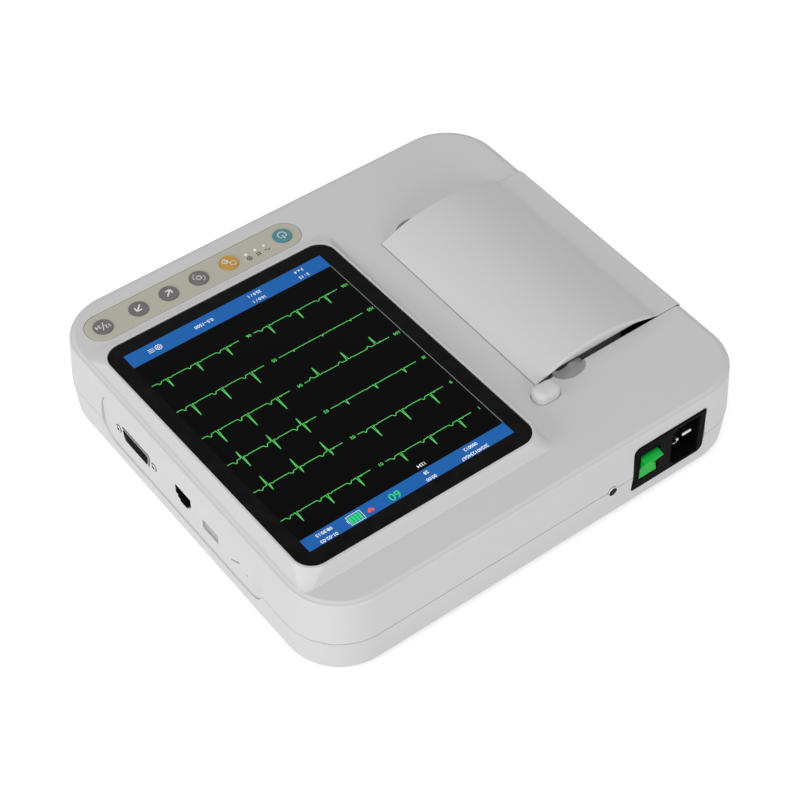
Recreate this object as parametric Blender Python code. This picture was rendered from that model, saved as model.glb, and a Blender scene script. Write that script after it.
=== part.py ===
"""Portable veterinary ECG machine with a portrait screen and a built-in strip printer.

Everything is in metres, +Z up. The user stands at -Y and looks towards +Y, so +X is the user's
right. The case stands on its feet at Z zero, centred on X and Y before the assembly is centred
on what sticks out of it. Run it with blender --background --python part.py, or from the editor.
"""

import math

import bmesh
import bpy
from mathutils import Matrix, Vector

# Fits that the whole machine shares
GAP = 0.0003
OVERRUN = 0.002
SKIN = 0.0025
CORNER_STEPS = 6
EDGE_STEPS = 3
ROUND_SIDES = 20
SMALL_SIDES = 12
HEX_SIDES = 6
SMOOTH_ANGLE = math.radians(35)

# Floor of the case and of the printer chassis that stands on it
STAND_HEIGHT = 0.0025
BASE_HEIGHT = 0.0215
PARTING = STAND_HEIGHT + BASE_HEIGHT
FLOOR_TOP = STAND_HEIGHT + SKIN
CHASSIS_WALL = 0.002
CHASSIS_FLOOR = FLOOR_TOP + GAP + CHASSIS_WALL

# Feed motor and gear train, stacked from the chassis floor up to the platen
MOTOR_RADIUS = 0.0095
MOTOR_LENGTH = 0.0165
MOTOR_CLEARANCE = 0.0014
MOTOR_SHAFT_RADIUS = 0.001
MOTOR_SHAFT_DEPTH = 0.003
MOTOR_PLATE = 0.001
MOTOR_PLATE_WIDTH = 0.024
MOTOR_PLATE_HEIGHT = 0.006
GEAR_MODULE = 0.0008
GEAR_WIDTH = 0.003
PLATEN_TEETH = 20
IDLER_TEETH = 16
PINION_TEETH = 10
TOOTH_TOP_SHARE = 0.15
TOOTH_FOOT_SHARE = 0.28
TOOTH_OUT_SHARE = 0.80
TOOTH_IN_SHARE = 1.15
IDLER_AXLE_RADIUS = 0.0015
MOTOR_Z = CHASSIS_FLOOR + MOTOR_CLEARANCE + MOTOR_RADIUS
IDLER_Z = MOTOR_Z + GEAR_MODULE * (PINION_TEETH + IDLER_TEETH) / 2
PLATEN_Z = IDLER_Z + GEAR_MODULE * (IDLER_TEETH + PLATEN_TEETH) / 2

# Deck of the cover, as far above the platen as the door's wall needs
PLATEN_DROP = 0.0088
DECK = PLATEN_Z + PLATEN_DROP
COVER_HEIGHT = DECK - PARTING
DECK_UNDERSIDE = DECK - SKIN

# Paper roll and spindle
PAPER_WIDTH = 0.110
ROLL_RADIUS = 0.0245
ROLL_CLEARANCE = 0.0017
ROLL_Z = CHASSIS_FLOOR + ROLL_CLEARANCE + ROLL_RADIUS
SPINDLE_RADIUS = 0.0055
JOURNAL_RADIUS = 0.003
CRADLE_CLEARANCE = 0.0023
CRADLE_WIDTH = 0.016
CRADLE_THICKNESS = 0.002
CRADLE_REACH = 0.005
CRADLE_TOP = ROLL_Z + CRADLE_REACH

# Printer door, which spans the roll and the platen
PLATEN_RADIUS = 0.007
PLATEN_TO_ROLL = 0.001
PLATEN_TO_EDGE = 0.0027
ROLL_TO_VALLEY = 0.0135
DOOR_SPAN = ROLL_TO_VALLEY + 2 * ROLL_RADIUS + PLATEN_TO_ROLL + 2 * PLATEN_RADIUS + PLATEN_TO_EDGE
DOOR_WALL = 0.0022
DOOR_HEADROOM = 0.0018
DOOR_CREST = ROLL_Z + ROLL_RADIUS + DOOR_HEADROOM + DOOR_WALL - DECK
DOOR_PROUD = 0.0004
DOOR_GAP = 0.0005
DOOR_LEDGE = 0.0012
BARREL_STEPS = 14

# Screen glass, whose top face carries the screen's frame of reference
GLASS_WIDTH = 0.139
GLASS_LENGTH = 0.180
GLASS_CORNER = 0.010
GLASS_THICKNESS = 0.0018
SCREEN_RISE = 0.0042
SCREEN_TILT = math.radians(1.86)

# Case, as wide and as deep as the door and the glass need
DOOR_SIDE_MARGIN = 0.0175
DOOR_TO_GLASS = 0.0233
GLASS_SIDE_MARGIN = 0.011
GLASS_FRONT_MARGIN = 0.0385
GLASS_REAR_MARGIN = 0.0275
CASE_WIDTH = DOOR_SIDE_MARGIN + DOOR_SPAN + DOOR_TO_GLASS + GLASS_WIDTH + GLASS_SIDE_MARGIN
CASE_DEPTH = GLASS_FRONT_MARGIN + GLASS_LENGTH + GLASS_REAR_MARGIN
CASE_CORNER = 0.032
BASE_LEAN = 0.0012
BASE_EDGE = 0.0035
COVER_LEAN = 0.0015
COVER_EDGE = 0.003
LEFT_WALL_X = -CASE_WIDTH / 2
RIGHT_WALL_X = CASE_WIDTH / 2
FRONT_WALL_Y = -CASE_DEPTH / 2
REAR_WALL_Y = CASE_DEPTH / 2

# Feet and case screws
FOOT_SIDE_INSET = 0.0175
FOOT_END_INSET = 0.028
FOOT_X = RIGHT_WALL_X - FOOT_SIDE_INSET
FOOT_Y = REAR_WALL_Y - FOOT_END_INSET
FOOT_RADIUS = 0.007
FOOT_SEAT_DEPTH = 0.0008
FOOT_CHAMFER = 0.0006
FRONT_SCREW_SIDE_INSET = 0.0355
FRONT_SCREW_END_INSET = 0.0082
REAR_SCREW_SIDE_INSET = 0.0235
REAR_SCREW_END_INSET = 0.015
FRONT_SCREW_X = RIGHT_WALL_X - FRONT_SCREW_SIDE_INSET
FRONT_SCREW_Y = REAR_WALL_Y - FRONT_SCREW_END_INSET
REAR_SCREW_X = RIGHT_WALL_X - REAR_SCREW_SIDE_INSET
REAR_SCREW_Y = REAR_WALL_Y - REAR_SCREW_END_INSET
SCREW_RADIUS = 0.0015
SCREW_HEAD_RADIUS = 0.0029
SCREW_HEAD_HEIGHT = 0.0024
SCREW_LENGTH = 0.022
SCREW_SINK = 0.0034
SCREW_CLEARANCE = 0.0003
POST_RADIUS = 0.0039
POST_REACH = 0.004
PILOT_DEPTH = 0.012

# Screen frame, display and bracket
SCREEN_X = RIGHT_WALL_X - GLASS_SIDE_MARGIN - GLASS_WIDTH / 2
SCREEN_Y = FRONT_WALL_Y + GLASS_FRONT_MARGIN + GLASS_LENGTH / 2
RIM_WIDTH = 0.0012
SKIRT_FRONT = 0.0032
SKIRT_REAR = 0.0068
SKIRT_SIDE = 0.0053
LCD_MARGIN = 0.0032
LCD_WIDTH = GLASS_WIDTH - 2 * LCD_MARGIN
LCD_LENGTH = GLASS_LENGTH - 2 * LCD_MARGIN
LCD_THICKNESS = 0.0045
LEDGE_THICKNESS = 0.002
TRAY_WALL = 0.003
TRAY_FLOOR = 0.001
TRAY_WINDOW_MARGIN = 0.018

# Key strip, along X at the front edge and nearly as long as the glass is wide
STRIP_LEFT_INSET = 0.005
STRIP_RIGHT_INSET = 0.001
STRIP_FRONT_INSET = 0.0126
STRIP_WIDTH = 0.019
STRIP_LEFT_X = SCREEN_X - GLASS_WIDTH / 2 + STRIP_LEFT_INSET
STRIP_RIGHT_X = SCREEN_X + GLASS_WIDTH / 2 - STRIP_RIGHT_INSET
STRIP_Y = FRONT_WALL_Y + STRIP_FRONT_INSET + STRIP_WIDTH / 2
OVERLAY_THICKNESS = 0.0005
KEY_RADIUS = 0.0053
KEY_RISE = 0.0004
KEY_FLANGE = 0.001
KEY_FLANGE_HEIGHT = 0.001
KEY_FOOT = 0.0005
KEY_TRAVEL = 0.0005
KEY_CROWN = 0.0008
KEY_PLACE_SHARES = {
    "power_key": 0.077,
    "print_key": 0.335,
    "lead_key": 0.477,
    "up_key": 0.618,
    "down_key": 0.757,
    "mode_key": 0.922,
}
LAMP_PLACE_SHARES = (0.168, 0.210, 0.254)
LAMP_RADIUS = 0.0011
LAMP_RISE = 0.0001
KEY_BOARD_THICKNESS = 0.0016
KEY_BOARD_MARGIN = 0.0015
KEY_BOARD_WIDTH = STRIP_WIDTH - KEY_BOARD_MARGIN
KEY_BOSS_RADIUS = 0.002

# Platen with its cheeks and its gear, under the door
DOOR_VALLEY_X = LEFT_WALL_X + DOOR_SIDE_MARGIN
DOOR_FREE_X = DOOR_VALLEY_X + DOOR_SPAN
PLATEN_X = DOOR_FREE_X - PLATEN_TO_EDGE - PLATEN_RADIUS
ROLL_X = PLATEN_X - PLATEN_RADIUS - PLATEN_TO_ROLL - ROLL_RADIUS
PLATEN_MARGIN = 0.001
PLATEN_LENGTH = PAPER_WIDTH + 2 * PLATEN_MARGIN
PLATEN_SHAFT_RADIUS = 0.0025
CHEEK_THICKNESS = 0.002
CHEEK_CLEARANCE = 0.0015
CHEEK_OFFSET = PLATEN_LENGTH / 2 + CHEEK_CLEARANCE
CHEEK_INNER_REACH = 0.008
CHEEK_OUTER_REACH = 0.0063
CHEEK_INNER_X = PLATEN_X - CHEEK_INNER_REACH
CHEEK_OUTER_X = PLATEN_X + CHEEK_OUTER_REACH
CHEEK_DROP = 0.0042
GEAR_FACE_Y = -CHEEK_OFFSET - CHEEK_THICKNESS - GAP

# Ends of the door and its hinge
DOOR_FRONT_SKIN = 0.0012
DOOR_REAR_MARGIN = 0.0085
FLANK_OVERHANG = 0.0022
DOOR_FRONT_Y = GEAR_FACE_Y - GEAR_WIDTH - DOOR_FRONT_SKIN
DOOR_REAR_Y = PAPER_WIDTH / 2 + DOOR_REAR_MARGIN
FLANK_REAR_Y = DOOR_REAR_Y + FLANK_OVERHANG
SHAFT_FRONT_STAND = 0.0002
SHAFT_REAR_INSET = 0.0009
PLATEN_FRONT_Y = GEAR_FACE_Y - GEAR_WIDTH - SHAFT_FRONT_STAND
PLATEN_REAR_Y = DOOR_REAR_Y - SHAFT_REAR_INSET
HINGE_DROP = 0.0078
HINGE_HEIGHT = DECK - HINGE_DROP
HINGE_RADIUS = 0.002
HINGE_PIN_RADIUS = 0.001
HINGE_EAR_LENGTH = 0.008
HINGE_MID_EAR_LENGTH = 0.008
HINGE_SETBACK = 0.0006

# Print head and its heat sink
HEAD_LENGTH = PAPER_WIDTH
HEAD_THICKNESS = 0.001
HEAD_DROP = 0.003
HEAD_LOW = PLATEN_Z - PLATEN_RADIUS
HEAD_HIGH = DECK - HEAD_DROP
SINK_OVERHANG = 0.002
SINK_LOW = HEAD_LOW - SINK_OVERHANG
SINK_SLOT = 0.0016
SINK_SLOTS = 5
SINK_SLOT_DEPTH = 0.003

# Printer chassis
CHASSIS_SIDE_INSET = 0.0049
CHASSIS_BESIDE_DOOR = 0.0078
CHASSIS_FRONT_MARGIN = 0.002
CHASSIS_REAR_MARGIN = 0.0035
CHASSIS_TOP_DROP = 0.0015
CHASSIS_LEFT_X = LEFT_WALL_X + CHASSIS_SIDE_INSET
CHASSIS_RIGHT_X = DOOR_FREE_X + CHASSIS_BESIDE_DOOR
CHASSIS_FRONT_Y = DOOR_FRONT_Y - CHASSIS_FRONT_MARGIN
CHASSIS_REAR_Y = DOOR_REAR_Y + CHASSIS_REAR_MARGIN
CHASSIS_TOP = PLATEN_Z - CHASSIS_TOP_DROP
SADDLE_WIDTH = 0.009

# Release button
BUTTON_WIDTH = 0.0134
BUTTON_LENGTH = 0.0132
BUTTON_BESIDE_EDGE = 0.0009
BUTTON_CLEARANCE = 0.0008
BUTTON_X = DOOR_FREE_X - BUTTON_BESIDE_EDGE
BUTTON_Y = DOOR_REAR_Y + BUTTON_CLEARANCE + BUTTON_LENGTH / 2
BUTTON_CORNER = 0.0046
BUTTON_RISE = 0.0042
BUTTON_ROUND = 0.0024
BUTTON_FLANGE = 0.001
STEM_WIDTH = 0.003
STEM_LENGTH = 0.005
STEM_X_OFFSET = 0.0027
STEM_Y_OFFSET = 0.0004
STEM_X = BUTTON_X + STEM_X_OFFSET
STEM_Y = BUTTON_Y - STEM_Y_OFFSET

# Latch, whose nose leans beside the platen's shaft
LATCH_THICKNESS = 0.0025
LATCH_CLEARANCE = 0.0008
LATCH_DROP = 0.015
LATCH_X = PLATEN_X + PLATEN_SHAFT_RADIUS
LATCH_Z = PLATEN_Z - LATCH_DROP
LATCH_FRONT_Y = CHEEK_OFFSET + CHEEK_THICKNESS + LATCH_CLEARANCE
LATCH_HUB_RADIUS = 0.0038
LATCH_AXLE_RADIUS = 0.0015
HOOK_WIDTH = 0.0027
HOOK_NECK = 0.0015
HOOK_TIP_X = PLATEN_X + PLATEN_SHAFT_RADIUS + GAP
HOOK_INNER_X = HOOK_TIP_X + HOOK_NECK
HOOK_OUTER_X = HOOK_INNER_X + HOOK_WIDTH
HOOK_THICKNESS = 0.0022
TAIL_RISE = 0.0025
TAIL_HEIGHT = 0.0025
TAIL_REACH = 0.0055
TAIL_LOW = LATCH_Z + TAIL_RISE
TAIL_HIGH = TAIL_LOW + TAIL_HEIGHT
TAIL_REAR_Y = CHASSIS_REAR_Y + TAIL_REACH
TAIL_WINDOW_MARGIN = 0.002

# Shelf behind the chassis, and the spring that stands on it
SHELF_THICKNESS = 0.0017
SHELF_STEP = 0.0015
SHELF_REACH = 0.012
SHELF_OVERHANG = 0.0073
SHELF_TOP = CHASSIS_TOP - SHELF_STEP
SHELF_REAR_Y = CHASSIS_REAR_Y + SHELF_REACH
SHELF_LEFT_X = BUTTON_X - SHELF_OVERHANG
SPRING_X_OFFSET = 0.0023
SPRING_Y_OFFSET = 0.0026
SPRING_X = BUTTON_X - SPRING_X_OFFSET
SPRING_Y = BUTTON_Y + SPRING_Y_OFFSET
SPRING_RADIUS = 0.0025
SPRING_WIRE = 0.0004
SPRING_TURNS = 4
SPRING_POINTS = 10

# Finger recesses beside the door
RECESS_INSET = 0.0214
RECESS_X = DOOR_FREE_X - RECESS_INSET
RECESS_HALF_LENGTH = 0.0105
RECESS_REACH = 0.0057
RECESS_DEPTH = 0.0048
RECESS_WALL = 0.0012
RECESS_UNDERCUT = 0.0018
RECESS_DEPTH_SHARES = (0, 0.3, 0.6, 0.85, 1)
RECESS_ROUND_SHARE = 0.9
RECESS_STEPS = 10

# Side port panel on the +X wall, as long as its row of ports
PORT_ROW_CENTRE_Y = 0.0005
PANEL_FRONT_MARGIN = 0.0318
DSUB_TO_NETWORK = 0.0429
NETWORK_TO_USB = 0.0237
USB_TO_SLOT = 0.0215
SLOT_TO_PIN_HOLE = 0.0102
PANEL_REAR_MARGIN = 0.0119
PORT_ROW = DSUB_TO_NETWORK + NETWORK_TO_USB + USB_TO_SLOT + SLOT_TO_PIN_HOLE
PANEL_LENGTH = PANEL_FRONT_MARGIN + PORT_ROW + PANEL_REAR_MARGIN
PANEL_FRONT_Y = PORT_ROW_CENTRE_Y - PANEL_LENGTH / 2
PANEL_REAR_Y = PANEL_FRONT_Y + PANEL_LENGTH
PANEL_BELOW_PARTING = 0.010
PANEL_DROP = 0.0058
PANEL_LOW = PARTING - PANEL_BELOW_PARTING
PANEL_HIGH = DECK - PANEL_DROP
PANEL_CORNER = 0.012
PANEL_SINK = 0.0021
PANEL_THICKNESS = 0.002
PORT_BOARD_INSET = 0.0175
PORT_BOARD_X = RIGHT_WALL_X - PORT_BOARD_INSET
PORT_BOARD_THICKNESS = 0.0016
PORT_BOARD_FRONT_INSET = 0.0045
PORT_BOARD_REAR_INSET = 0.0095
PORT_BOARD_FRONT_Y = PANEL_FRONT_Y + PORT_BOARD_FRONT_INSET
PORT_BOARD_REAR_Y = PANEL_REAR_Y - PORT_BOARD_REAR_INSET
PORT_BOARD_DROP = 0.003
PORT_BOARD_LOW = FLOOR_TOP + GAP
PORT_BOARD_HIGH = PANEL_HIGH - PORT_BOARD_DROP
DSUB_RISE = 0.0156
DSUB_Y = PANEL_FRONT_Y + PANEL_FRONT_MARGIN
DSUB_Z = PANEL_LOW + DSUB_RISE
DSUB_WIDTH = 0.0252
DSUB_HEIGHT = 0.0084
DSUB_SLANT = 0.0014
DSUB_CORNER = 0.0018
DSUB_WALL = 0.0006
DSUB_STAND = 0.0014
DSUB_FLANGE_MARGIN = 0.00205
DSUB_FLANGE_REACH = 0.00295
DSUB_FLANGE_THICKNESS = 0.0008
JACK_RADIUS = 0.0024
JACK_BESIDE_SOCKET = 0.00165
JACK_SPACING = DSUB_WIDTH + 2 * (JACK_RADIUS + JACK_BESIDE_SOCKET)
DSUB_FLANGE_WIDTH = JACK_SPACING + 2 * DSUB_FLANGE_REACH
DSUB_FLANGE_HEIGHT = DSUB_HEIGHT + 2 * DSUB_FLANGE_MARGIN
JACK_HOLE_RADIUS = 0.0012
SOCKET_CAP = 0.0008
NETWORK_RISE = 0.0175
NETWORK_Y = DSUB_Y + DSUB_TO_NETWORK
NETWORK_Z = PANEL_LOW + NETWORK_RISE
NETWORK_WIDTH = 0.0142
NETWORK_HEIGHT = 0.0124
NETWORK_CAVITY_WIDTH = 0.0118
NETWORK_CAVITY_HEIGHT = 0.0078
NETWORK_CAVITY_DEPTH = 0.0105
NETWORK_NOTCH_WIDTH = 0.0062
NETWORK_NOTCH_HEIGHT = 0.0022
USB_RISE = 0.015
USB_Y = NETWORK_Y + NETWORK_TO_USB
USB_Z = PANEL_LOW + USB_RISE
USB_WIDTH = 0.0134
USB_HEIGHT = 0.0062
PORT_SINK = 0.0008
SLOT_RISE = 0.014
SLOT_Y = USB_Y + USB_TO_SLOT
SLOT_Z = PANEL_LOW + SLOT_RISE
SLOT_LENGTH = 0.0072
SLOT_WIDTH = 0.0012
PIN_HOLE_RISE = 0.012
PIN_HOLE_Y = SLOT_Y + SLOT_TO_PIN_HOLE
PIN_HOLE_Z = PANEL_LOW + PIN_HOLE_RISE
PIN_HOLE_RADIUS = 0.0006

# Mains inlet on the rear wall, as wide as its socket and its rocker
SOCKET_WIDTH = 0.0164
SOCKET_HEIGHT = 0.024
SOCKET_CHAMFER = 0.004
SOCKET_DEPTH = 0.0155
SOCKET_SIDE_MARGIN = 0.00645
SOCKET_END_MARGIN = 0.0033
SOCKET_TO_ROCKER = 0.0078
ROCKER_WIDTH = 0.012
ROCKER_SIDE_MARGIN = 0.00385
INLET_WIDTH = SOCKET_SIDE_MARGIN + SOCKET_WIDTH + SOCKET_TO_ROCKER + ROCKER_WIDTH + ROCKER_SIDE_MARGIN
INLET_HEIGHT = SOCKET_HEIGHT + 2 * SOCKET_END_MARGIN
INLET_SIDE_INSET = 0.03485
INLET_RISE = 0.0045
INLET_X = LEFT_WALL_X + INLET_SIDE_INSET + INLET_WIDTH / 2
INLET_Z = PARTING + INLET_RISE
INLET_CORNER = 0.003
INLET_SINK = 0.0008
INLET_BEZEL = 0.002
INLET_BODY_DEPTH = 0.026
INLET_BODY_MARGIN = 0.0016
SOCKET_X = INLET_X - INLET_WIDTH / 2 + SOCKET_SIDE_MARGIN + SOCKET_WIDTH / 2
BLADE_WIDTH = 0.004
BLADE_THICKNESS = 0.002
BLADE_PITCH = 0.007
BLADE_OFFSET = 0.002
BLADE_SINK = 0.003
BLADE_TAB = 0.006
ROCKER_X = INLET_X + INLET_WIDTH / 2 - ROCKER_SIDE_MARGIN - ROCKER_WIDTH / 2
ROCKER_HALF = 0.008
ROCKER_TIP = 0.005
ROCKER_VALLEY = 0.0028
ROCKER_BACK = 0.0025
ROCKER_BACK_HALF = 0.0055
ROCKER_PIVOT_SINK = 0.003
ROCKER_TILT = math.radians(13)
ROCKER_WELL_MARGIN = 0.0015
ROCKER_WELL_HALF = ROCKER_HALF + ROCKER_WELL_MARGIN
ROCKER_WELL_DEPTH = 0.0085

# Earth terminal on the parting line, beside the inlet
EARTH_BESIDE_INLET = 0.01415
EARTH_X = INLET_X + INLET_WIDTH / 2 + EARTH_BESIDE_INLET
EARTH_Z = PARTING
EARTH_RADIUS = 0.0022
EARTH_TIP_RADIUS = 0.0017
EARTH_NUT_RADIUS = 0.0045
EARTH_NUT_THICKNESS = 0.002
EARTH_REACH = 0.0035

# Battery bay, in the middle under the screen
BATTERY_SIDE_INSET = 0.0245
BATTERY_WIDTH = GLASS_WIDTH - 2 * BATTERY_SIDE_INSET
BATTERY_LENGTH = 0.062
BATTERY_HEIGHT = 0.019
BATTERY_CORNER = 0.003
BATTERY_FRONT_INSET = 0.037
BATTERY_X = SCREEN_X
BATTERY_Y = FRONT_WALL_Y + BATTERY_FRONT_INSET + BATTERY_LENGTH / 2
BAY_WALL = 0.0018
COVER_PLATE_MARGIN = 0.0035
COVER_LIP = 0.001

# Power board behind the printer and main board between its neighbours
BOARD_THICKNESS = 0.0016
BOARD_STANDOFF = 0.0063
BOARD_HEIGHT = FLOOR_TOP + BOARD_STANDOFF
POWER_BOARD_WIDTH = 0.092
POWER_BOARD_OVERHANG = 0.012
POWER_BOARD_GAP = 0.001
POWER_BOARD_REAR_INSET = 0.009
POWER_BOARD_FRONT_Y = CHASSIS_REAR_Y + POWER_BOARD_GAP
POWER_BOARD_REAR_Y = REAR_WALL_Y - POWER_BOARD_REAR_INSET
POWER_BOARD_LENGTH = POWER_BOARD_REAR_Y - POWER_BOARD_FRONT_Y
POWER_BOARD_X = CHASSIS_RIGHT_X - POWER_BOARD_OVERHANG + POWER_BOARD_WIDTH / 2
POWER_BOARD_Y = (POWER_BOARD_FRONT_Y + POWER_BOARD_REAR_Y) / 2
MAIN_BOARD_SIDE_GAP = 0.008
MAIN_BOARD_PORT_GAP = 0.004
MAIN_BOARD_BAY_GAP = 0.010
MAIN_BOARD_REAR_GAP = 0.006
MAIN_BOARD_LEFT_X = CHASSIS_RIGHT_X + MAIN_BOARD_SIDE_GAP
MAIN_BOARD_RIGHT_X = PORT_BOARD_X - MAIN_BOARD_PORT_GAP
MAIN_BOARD_FRONT_Y = BATTERY_Y + BATTERY_LENGTH / 2 + MAIN_BOARD_BAY_GAP
MAIN_BOARD_REAR_Y = POWER_BOARD_FRONT_Y - MAIN_BOARD_REAR_GAP
MAIN_BOARD_WIDTH = MAIN_BOARD_RIGHT_X - MAIN_BOARD_LEFT_X
MAIN_BOARD_LENGTH = MAIN_BOARD_REAR_Y - MAIN_BOARD_FRONT_Y
MAIN_BOARD_X = (MAIN_BOARD_LEFT_X + MAIN_BOARD_RIGHT_X) / 2
MAIN_BOARD_Y = (MAIN_BOARD_FRONT_Y + MAIN_BOARD_REAR_Y) / 2
STANDOFF_RADIUS = 0.003
STANDOFF_INSET = 0.005
COMPONENT_SIZE = 0.010
COMPONENT_HEIGHT = 0.0016

# Speaker in the front left corner, half way between the front wall and the printer
SPEAKER_RADIUS = 0.017
SPEAKER_SIDE_INSET = 0.0385
SPEAKER_Y_OFFSET = 0.0015
SPEAKER_X = LEFT_WALL_X + SPEAKER_SIDE_INSET + SPEAKER_RADIUS
SPEAKER_Y = (FRONT_WALL_Y + CHASSIS_FRONT_Y) / 2 + SPEAKER_Y_OFFSET
SPEAKER_MAGNET_RADIUS = 0.009
SPEAKER_RIM = 0.0025
SPEAKER_HEIGHT = 0.008
GRILLE_SLOT_WIDTH = 0.0016
GRILLE_SLOT_LENGTH = 0.018
GRILLE_PITCH = 0.005
GRILLE_SLOTS = 5

# Components: X and Y from the board's centre, size and height
MAIN_BOARD_SHARES = (
    (0.07, 0.12, 1.0, 1),
    (-0.17, -0.12, 0.7, 0.9),
    (0.23, -0.13, 0.6, 5.5),
    (-0.25, 0.15, 0.55, 2.8),
)
POWER_BOARD_SHARES = ((0.05, 0.0, 2.1, 11), (0.36, 0.1, 1.15, 8.5), (-0.3, -0.05, 1.4, 6))

# Finishes: colour, roughness and metallic value
WHITE_PLASTIC = ((0.72, 0.71, 0.70), 0.45, 0)
BLACK_PLASTIC = ((0.012, 0.012, 0.013), 0.45, 0)
DARK_PLASTIC = ((0.10, 0.10, 0.105), 0.6, 0)
PORT_GREY = ((0.52, 0.51, 0.50), 0.5, 0)
GEAR_PLASTIC = ((0.80, 0.80, 0.78), 0.4, 0)
ROCKER_GREEN = ((0.01, 0.42, 0.07), 0.3, 0)
STRIP_BEIGE = ((0.50, 0.47, 0.36), 0.5, 0)
KEY_GREY = ((0.16, 0.145, 0.145), 0.4, 0)
KEY_FINISHES = {
    "power_key": ((0.07, 0.28, 0.32), 0.4, 0),
    "print_key": ((0.58, 0.32, 0.03), 0.4, 0),
}
LAMP_CLEAR = ((0.85, 0.87, 0.88), 0.2, 0)
BLACK_GLASS = ((0.01, 0.01, 0.012), 0.08, 0)
DISPLAY_BLUE = ((0.03, 0.10, 0.20), 0.3, 0)
RUBBER = ((0.05, 0.05, 0.052), 0.85, 0)
PAPER = ((0.85, 0.84, 0.80), 0.8, 0)
BATTERY_WRAP = ((0.05, 0.09, 0.16), 0.5, 0)
BOARD_GREEN = ((0.02, 0.14, 0.06), 0.5, 0)
CERAMIC = ((0.75, 0.72, 0.65), 0.3, 0)
STEEL = ((0.62, 0.62, 0.60), 0.3, 1)
ALUMINIUM = ((0.70, 0.70, 0.70), 0.38, 1)
BRASS = ((0.75, 0.60, 0.30), 0.35, 1)


def material_of(name, finish):
    colour, roughness, metallic = finish
    made = bpy.data.materials.new(name)
    made.use_nodes = True
    shader = made.node_tree.nodes["Principled BSDF"]
    shader.inputs["Base Color"].default_value = (*colour, 1)
    shader.inputs["Roughness"].default_value = roughness
    shader.inputs["Metallic"].default_value = metallic
    made.diffuse_color = (*colour, 1)
    return made


def object_of(name, bm, parent, origin=(0, 0, 0)):
    """An object whose mesh was drawn in its parent's frame, with its own origin at a joint or a seat."""
    bmesh.ops.recalc_face_normals(bm, faces=bm.faces)
    bmesh.ops.translate(bm, verts=bm.verts, vec=-Vector(origin))
    mesh = bpy.data.meshes.new(name)
    bm.to_mesh(mesh)
    bm.free()
    made = bpy.data.objects.new(name, mesh)
    made.location = origin
    made.parent = parent
    bpy.context.scene.collection.objects.link(made)
    return made


def piece(name, bm, parent, finish, origin=(0, 0, 0)):
    made = object_of(name, bm, parent, origin)
    made.data.materials.append(material_of(name, finish))
    made.data.shade_smooth()
    made.data.set_sharp_from_angle(angle=SMOOTH_ANGLE)
    return made


def tool(target, operation, name, bm, parent):
    """Cuts a mesh from a piece, or joins it on, with a Boolean modifier."""
    helper = object_of(f"{target.name}_{name}", bm, parent)
    helper.hide_render = True
    helper.display_type = "WIRE"
    boolean = target.modifiers.new(name, "BOOLEAN")
    boolean.operation = operation
    boolean.solver = "EXACT"
    boolean.object = helper
    return helper


def cut(target, name, bm, parent):
    return tool(target, "DIFFERENCE", name, bm, parent)


def join(target, name, bm, parent):
    return tool(target, "UNION", name, bm, parent)


def shared_tool(target, operation, helper):
    boolean = target.modifiers.new(helper.name, "BOOLEAN")
    boolean.operation = operation
    boolean.solver = "EXACT"
    boolean.object = helper


def stack(rings):
    """A solid through closed rings of points, each with the same number of points."""
    bm = bmesh.new()
    verts = [bm.verts.new(point) for point in rings[0]]
    face = bm.faces.new(verts)
    for level, ring in enumerate(rings[1:]):
        made = bmesh.ops.extrude_face_region(bm, geom=[face])["geom"]
        if level:
            bm.faces.remove(face)
        face = next(part for part in made if isinstance(part, bmesh.types.BMFace))
        verts = [beside(vert, face) for vert in verts]
        for vert, point in zip(verts, ring):
            vert.co = point
    bmesh.ops.recalc_face_normals(bm, faces=bm.faces)
    return bm


def beside(vert, face):
    """The corner of an extruded face that a corner of the face before it became."""
    return next(edge.other_vert(vert) for edge in vert.link_edges if edge.other_vert(vert) in face.verts)


def extruded(outline, axis, start, end):
    """A prism: an outline of two coordinates, drawn out along the third axis."""
    spread = {
        "X": lambda u, v, w: (w, u, v),
        "Y": lambda u, v, w: (u, w, v),
        "Z": lambda u, v, w: (u, v, w),
    }[axis]
    bm = bmesh.new()
    face = bm.faces.new([bm.verts.new(spread(u, v, start)) for u, v in outline])
    made = bmesh.ops.extrude_face_region(bm, geom=[face])["geom"]
    moved = [part for part in made if isinstance(part, bmesh.types.BMVert)]
    bmesh.ops.translate(bm, verts=moved, vec=Vector(spread(0, 0, end - start)))
    bmesh.ops.recalc_face_normals(bm, faces=bm.faces)
    return bm


def rectangle(u_low, u_high, v_low, v_high):
    return [(u_low, v_low), (u_high, v_low), (u_high, v_high), (u_low, v_high)]


def rounded(u_low, u_high, v_low, v_high, radius, steps=CORNER_STEPS):
    """A rectangle with round corners, anticlockwise from its lower right corner."""
    points = []
    centres = (
        (u_high - radius, v_low + radius, -90),
        (u_high - radius, v_high - radius, 0),
        (u_low + radius, v_high - radius, 90),
        (u_low + radius, v_low + radius, 180),
    )
    for u, v, start in centres:
        for step in range(steps + 1):
            angle = math.radians(start + 90 * step / steps)
            points.append((u + radius * math.cos(angle), v + radius * math.sin(angle)))
    return points


def centred(u, v, width, height, radius, steps=CORNER_STEPS):
    return rounded(u - width / 2, u + width / 2, v - height / 2, v + height / 2, radius, steps)


def disc(u, v, radius, sides=ROUND_SIDES, turn=0):
    angles = [turn + 2 * math.pi * side / sides for side in range(sides)]
    return [(u + radius * math.cos(angle), v + radius * math.sin(angle)) for angle in angles]


def box(x_low, x_high, y_low, y_high, z_low, z_high):
    return extruded(rectangle(x_low, x_high, y_low, y_high), "Z", z_low, z_high)


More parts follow.
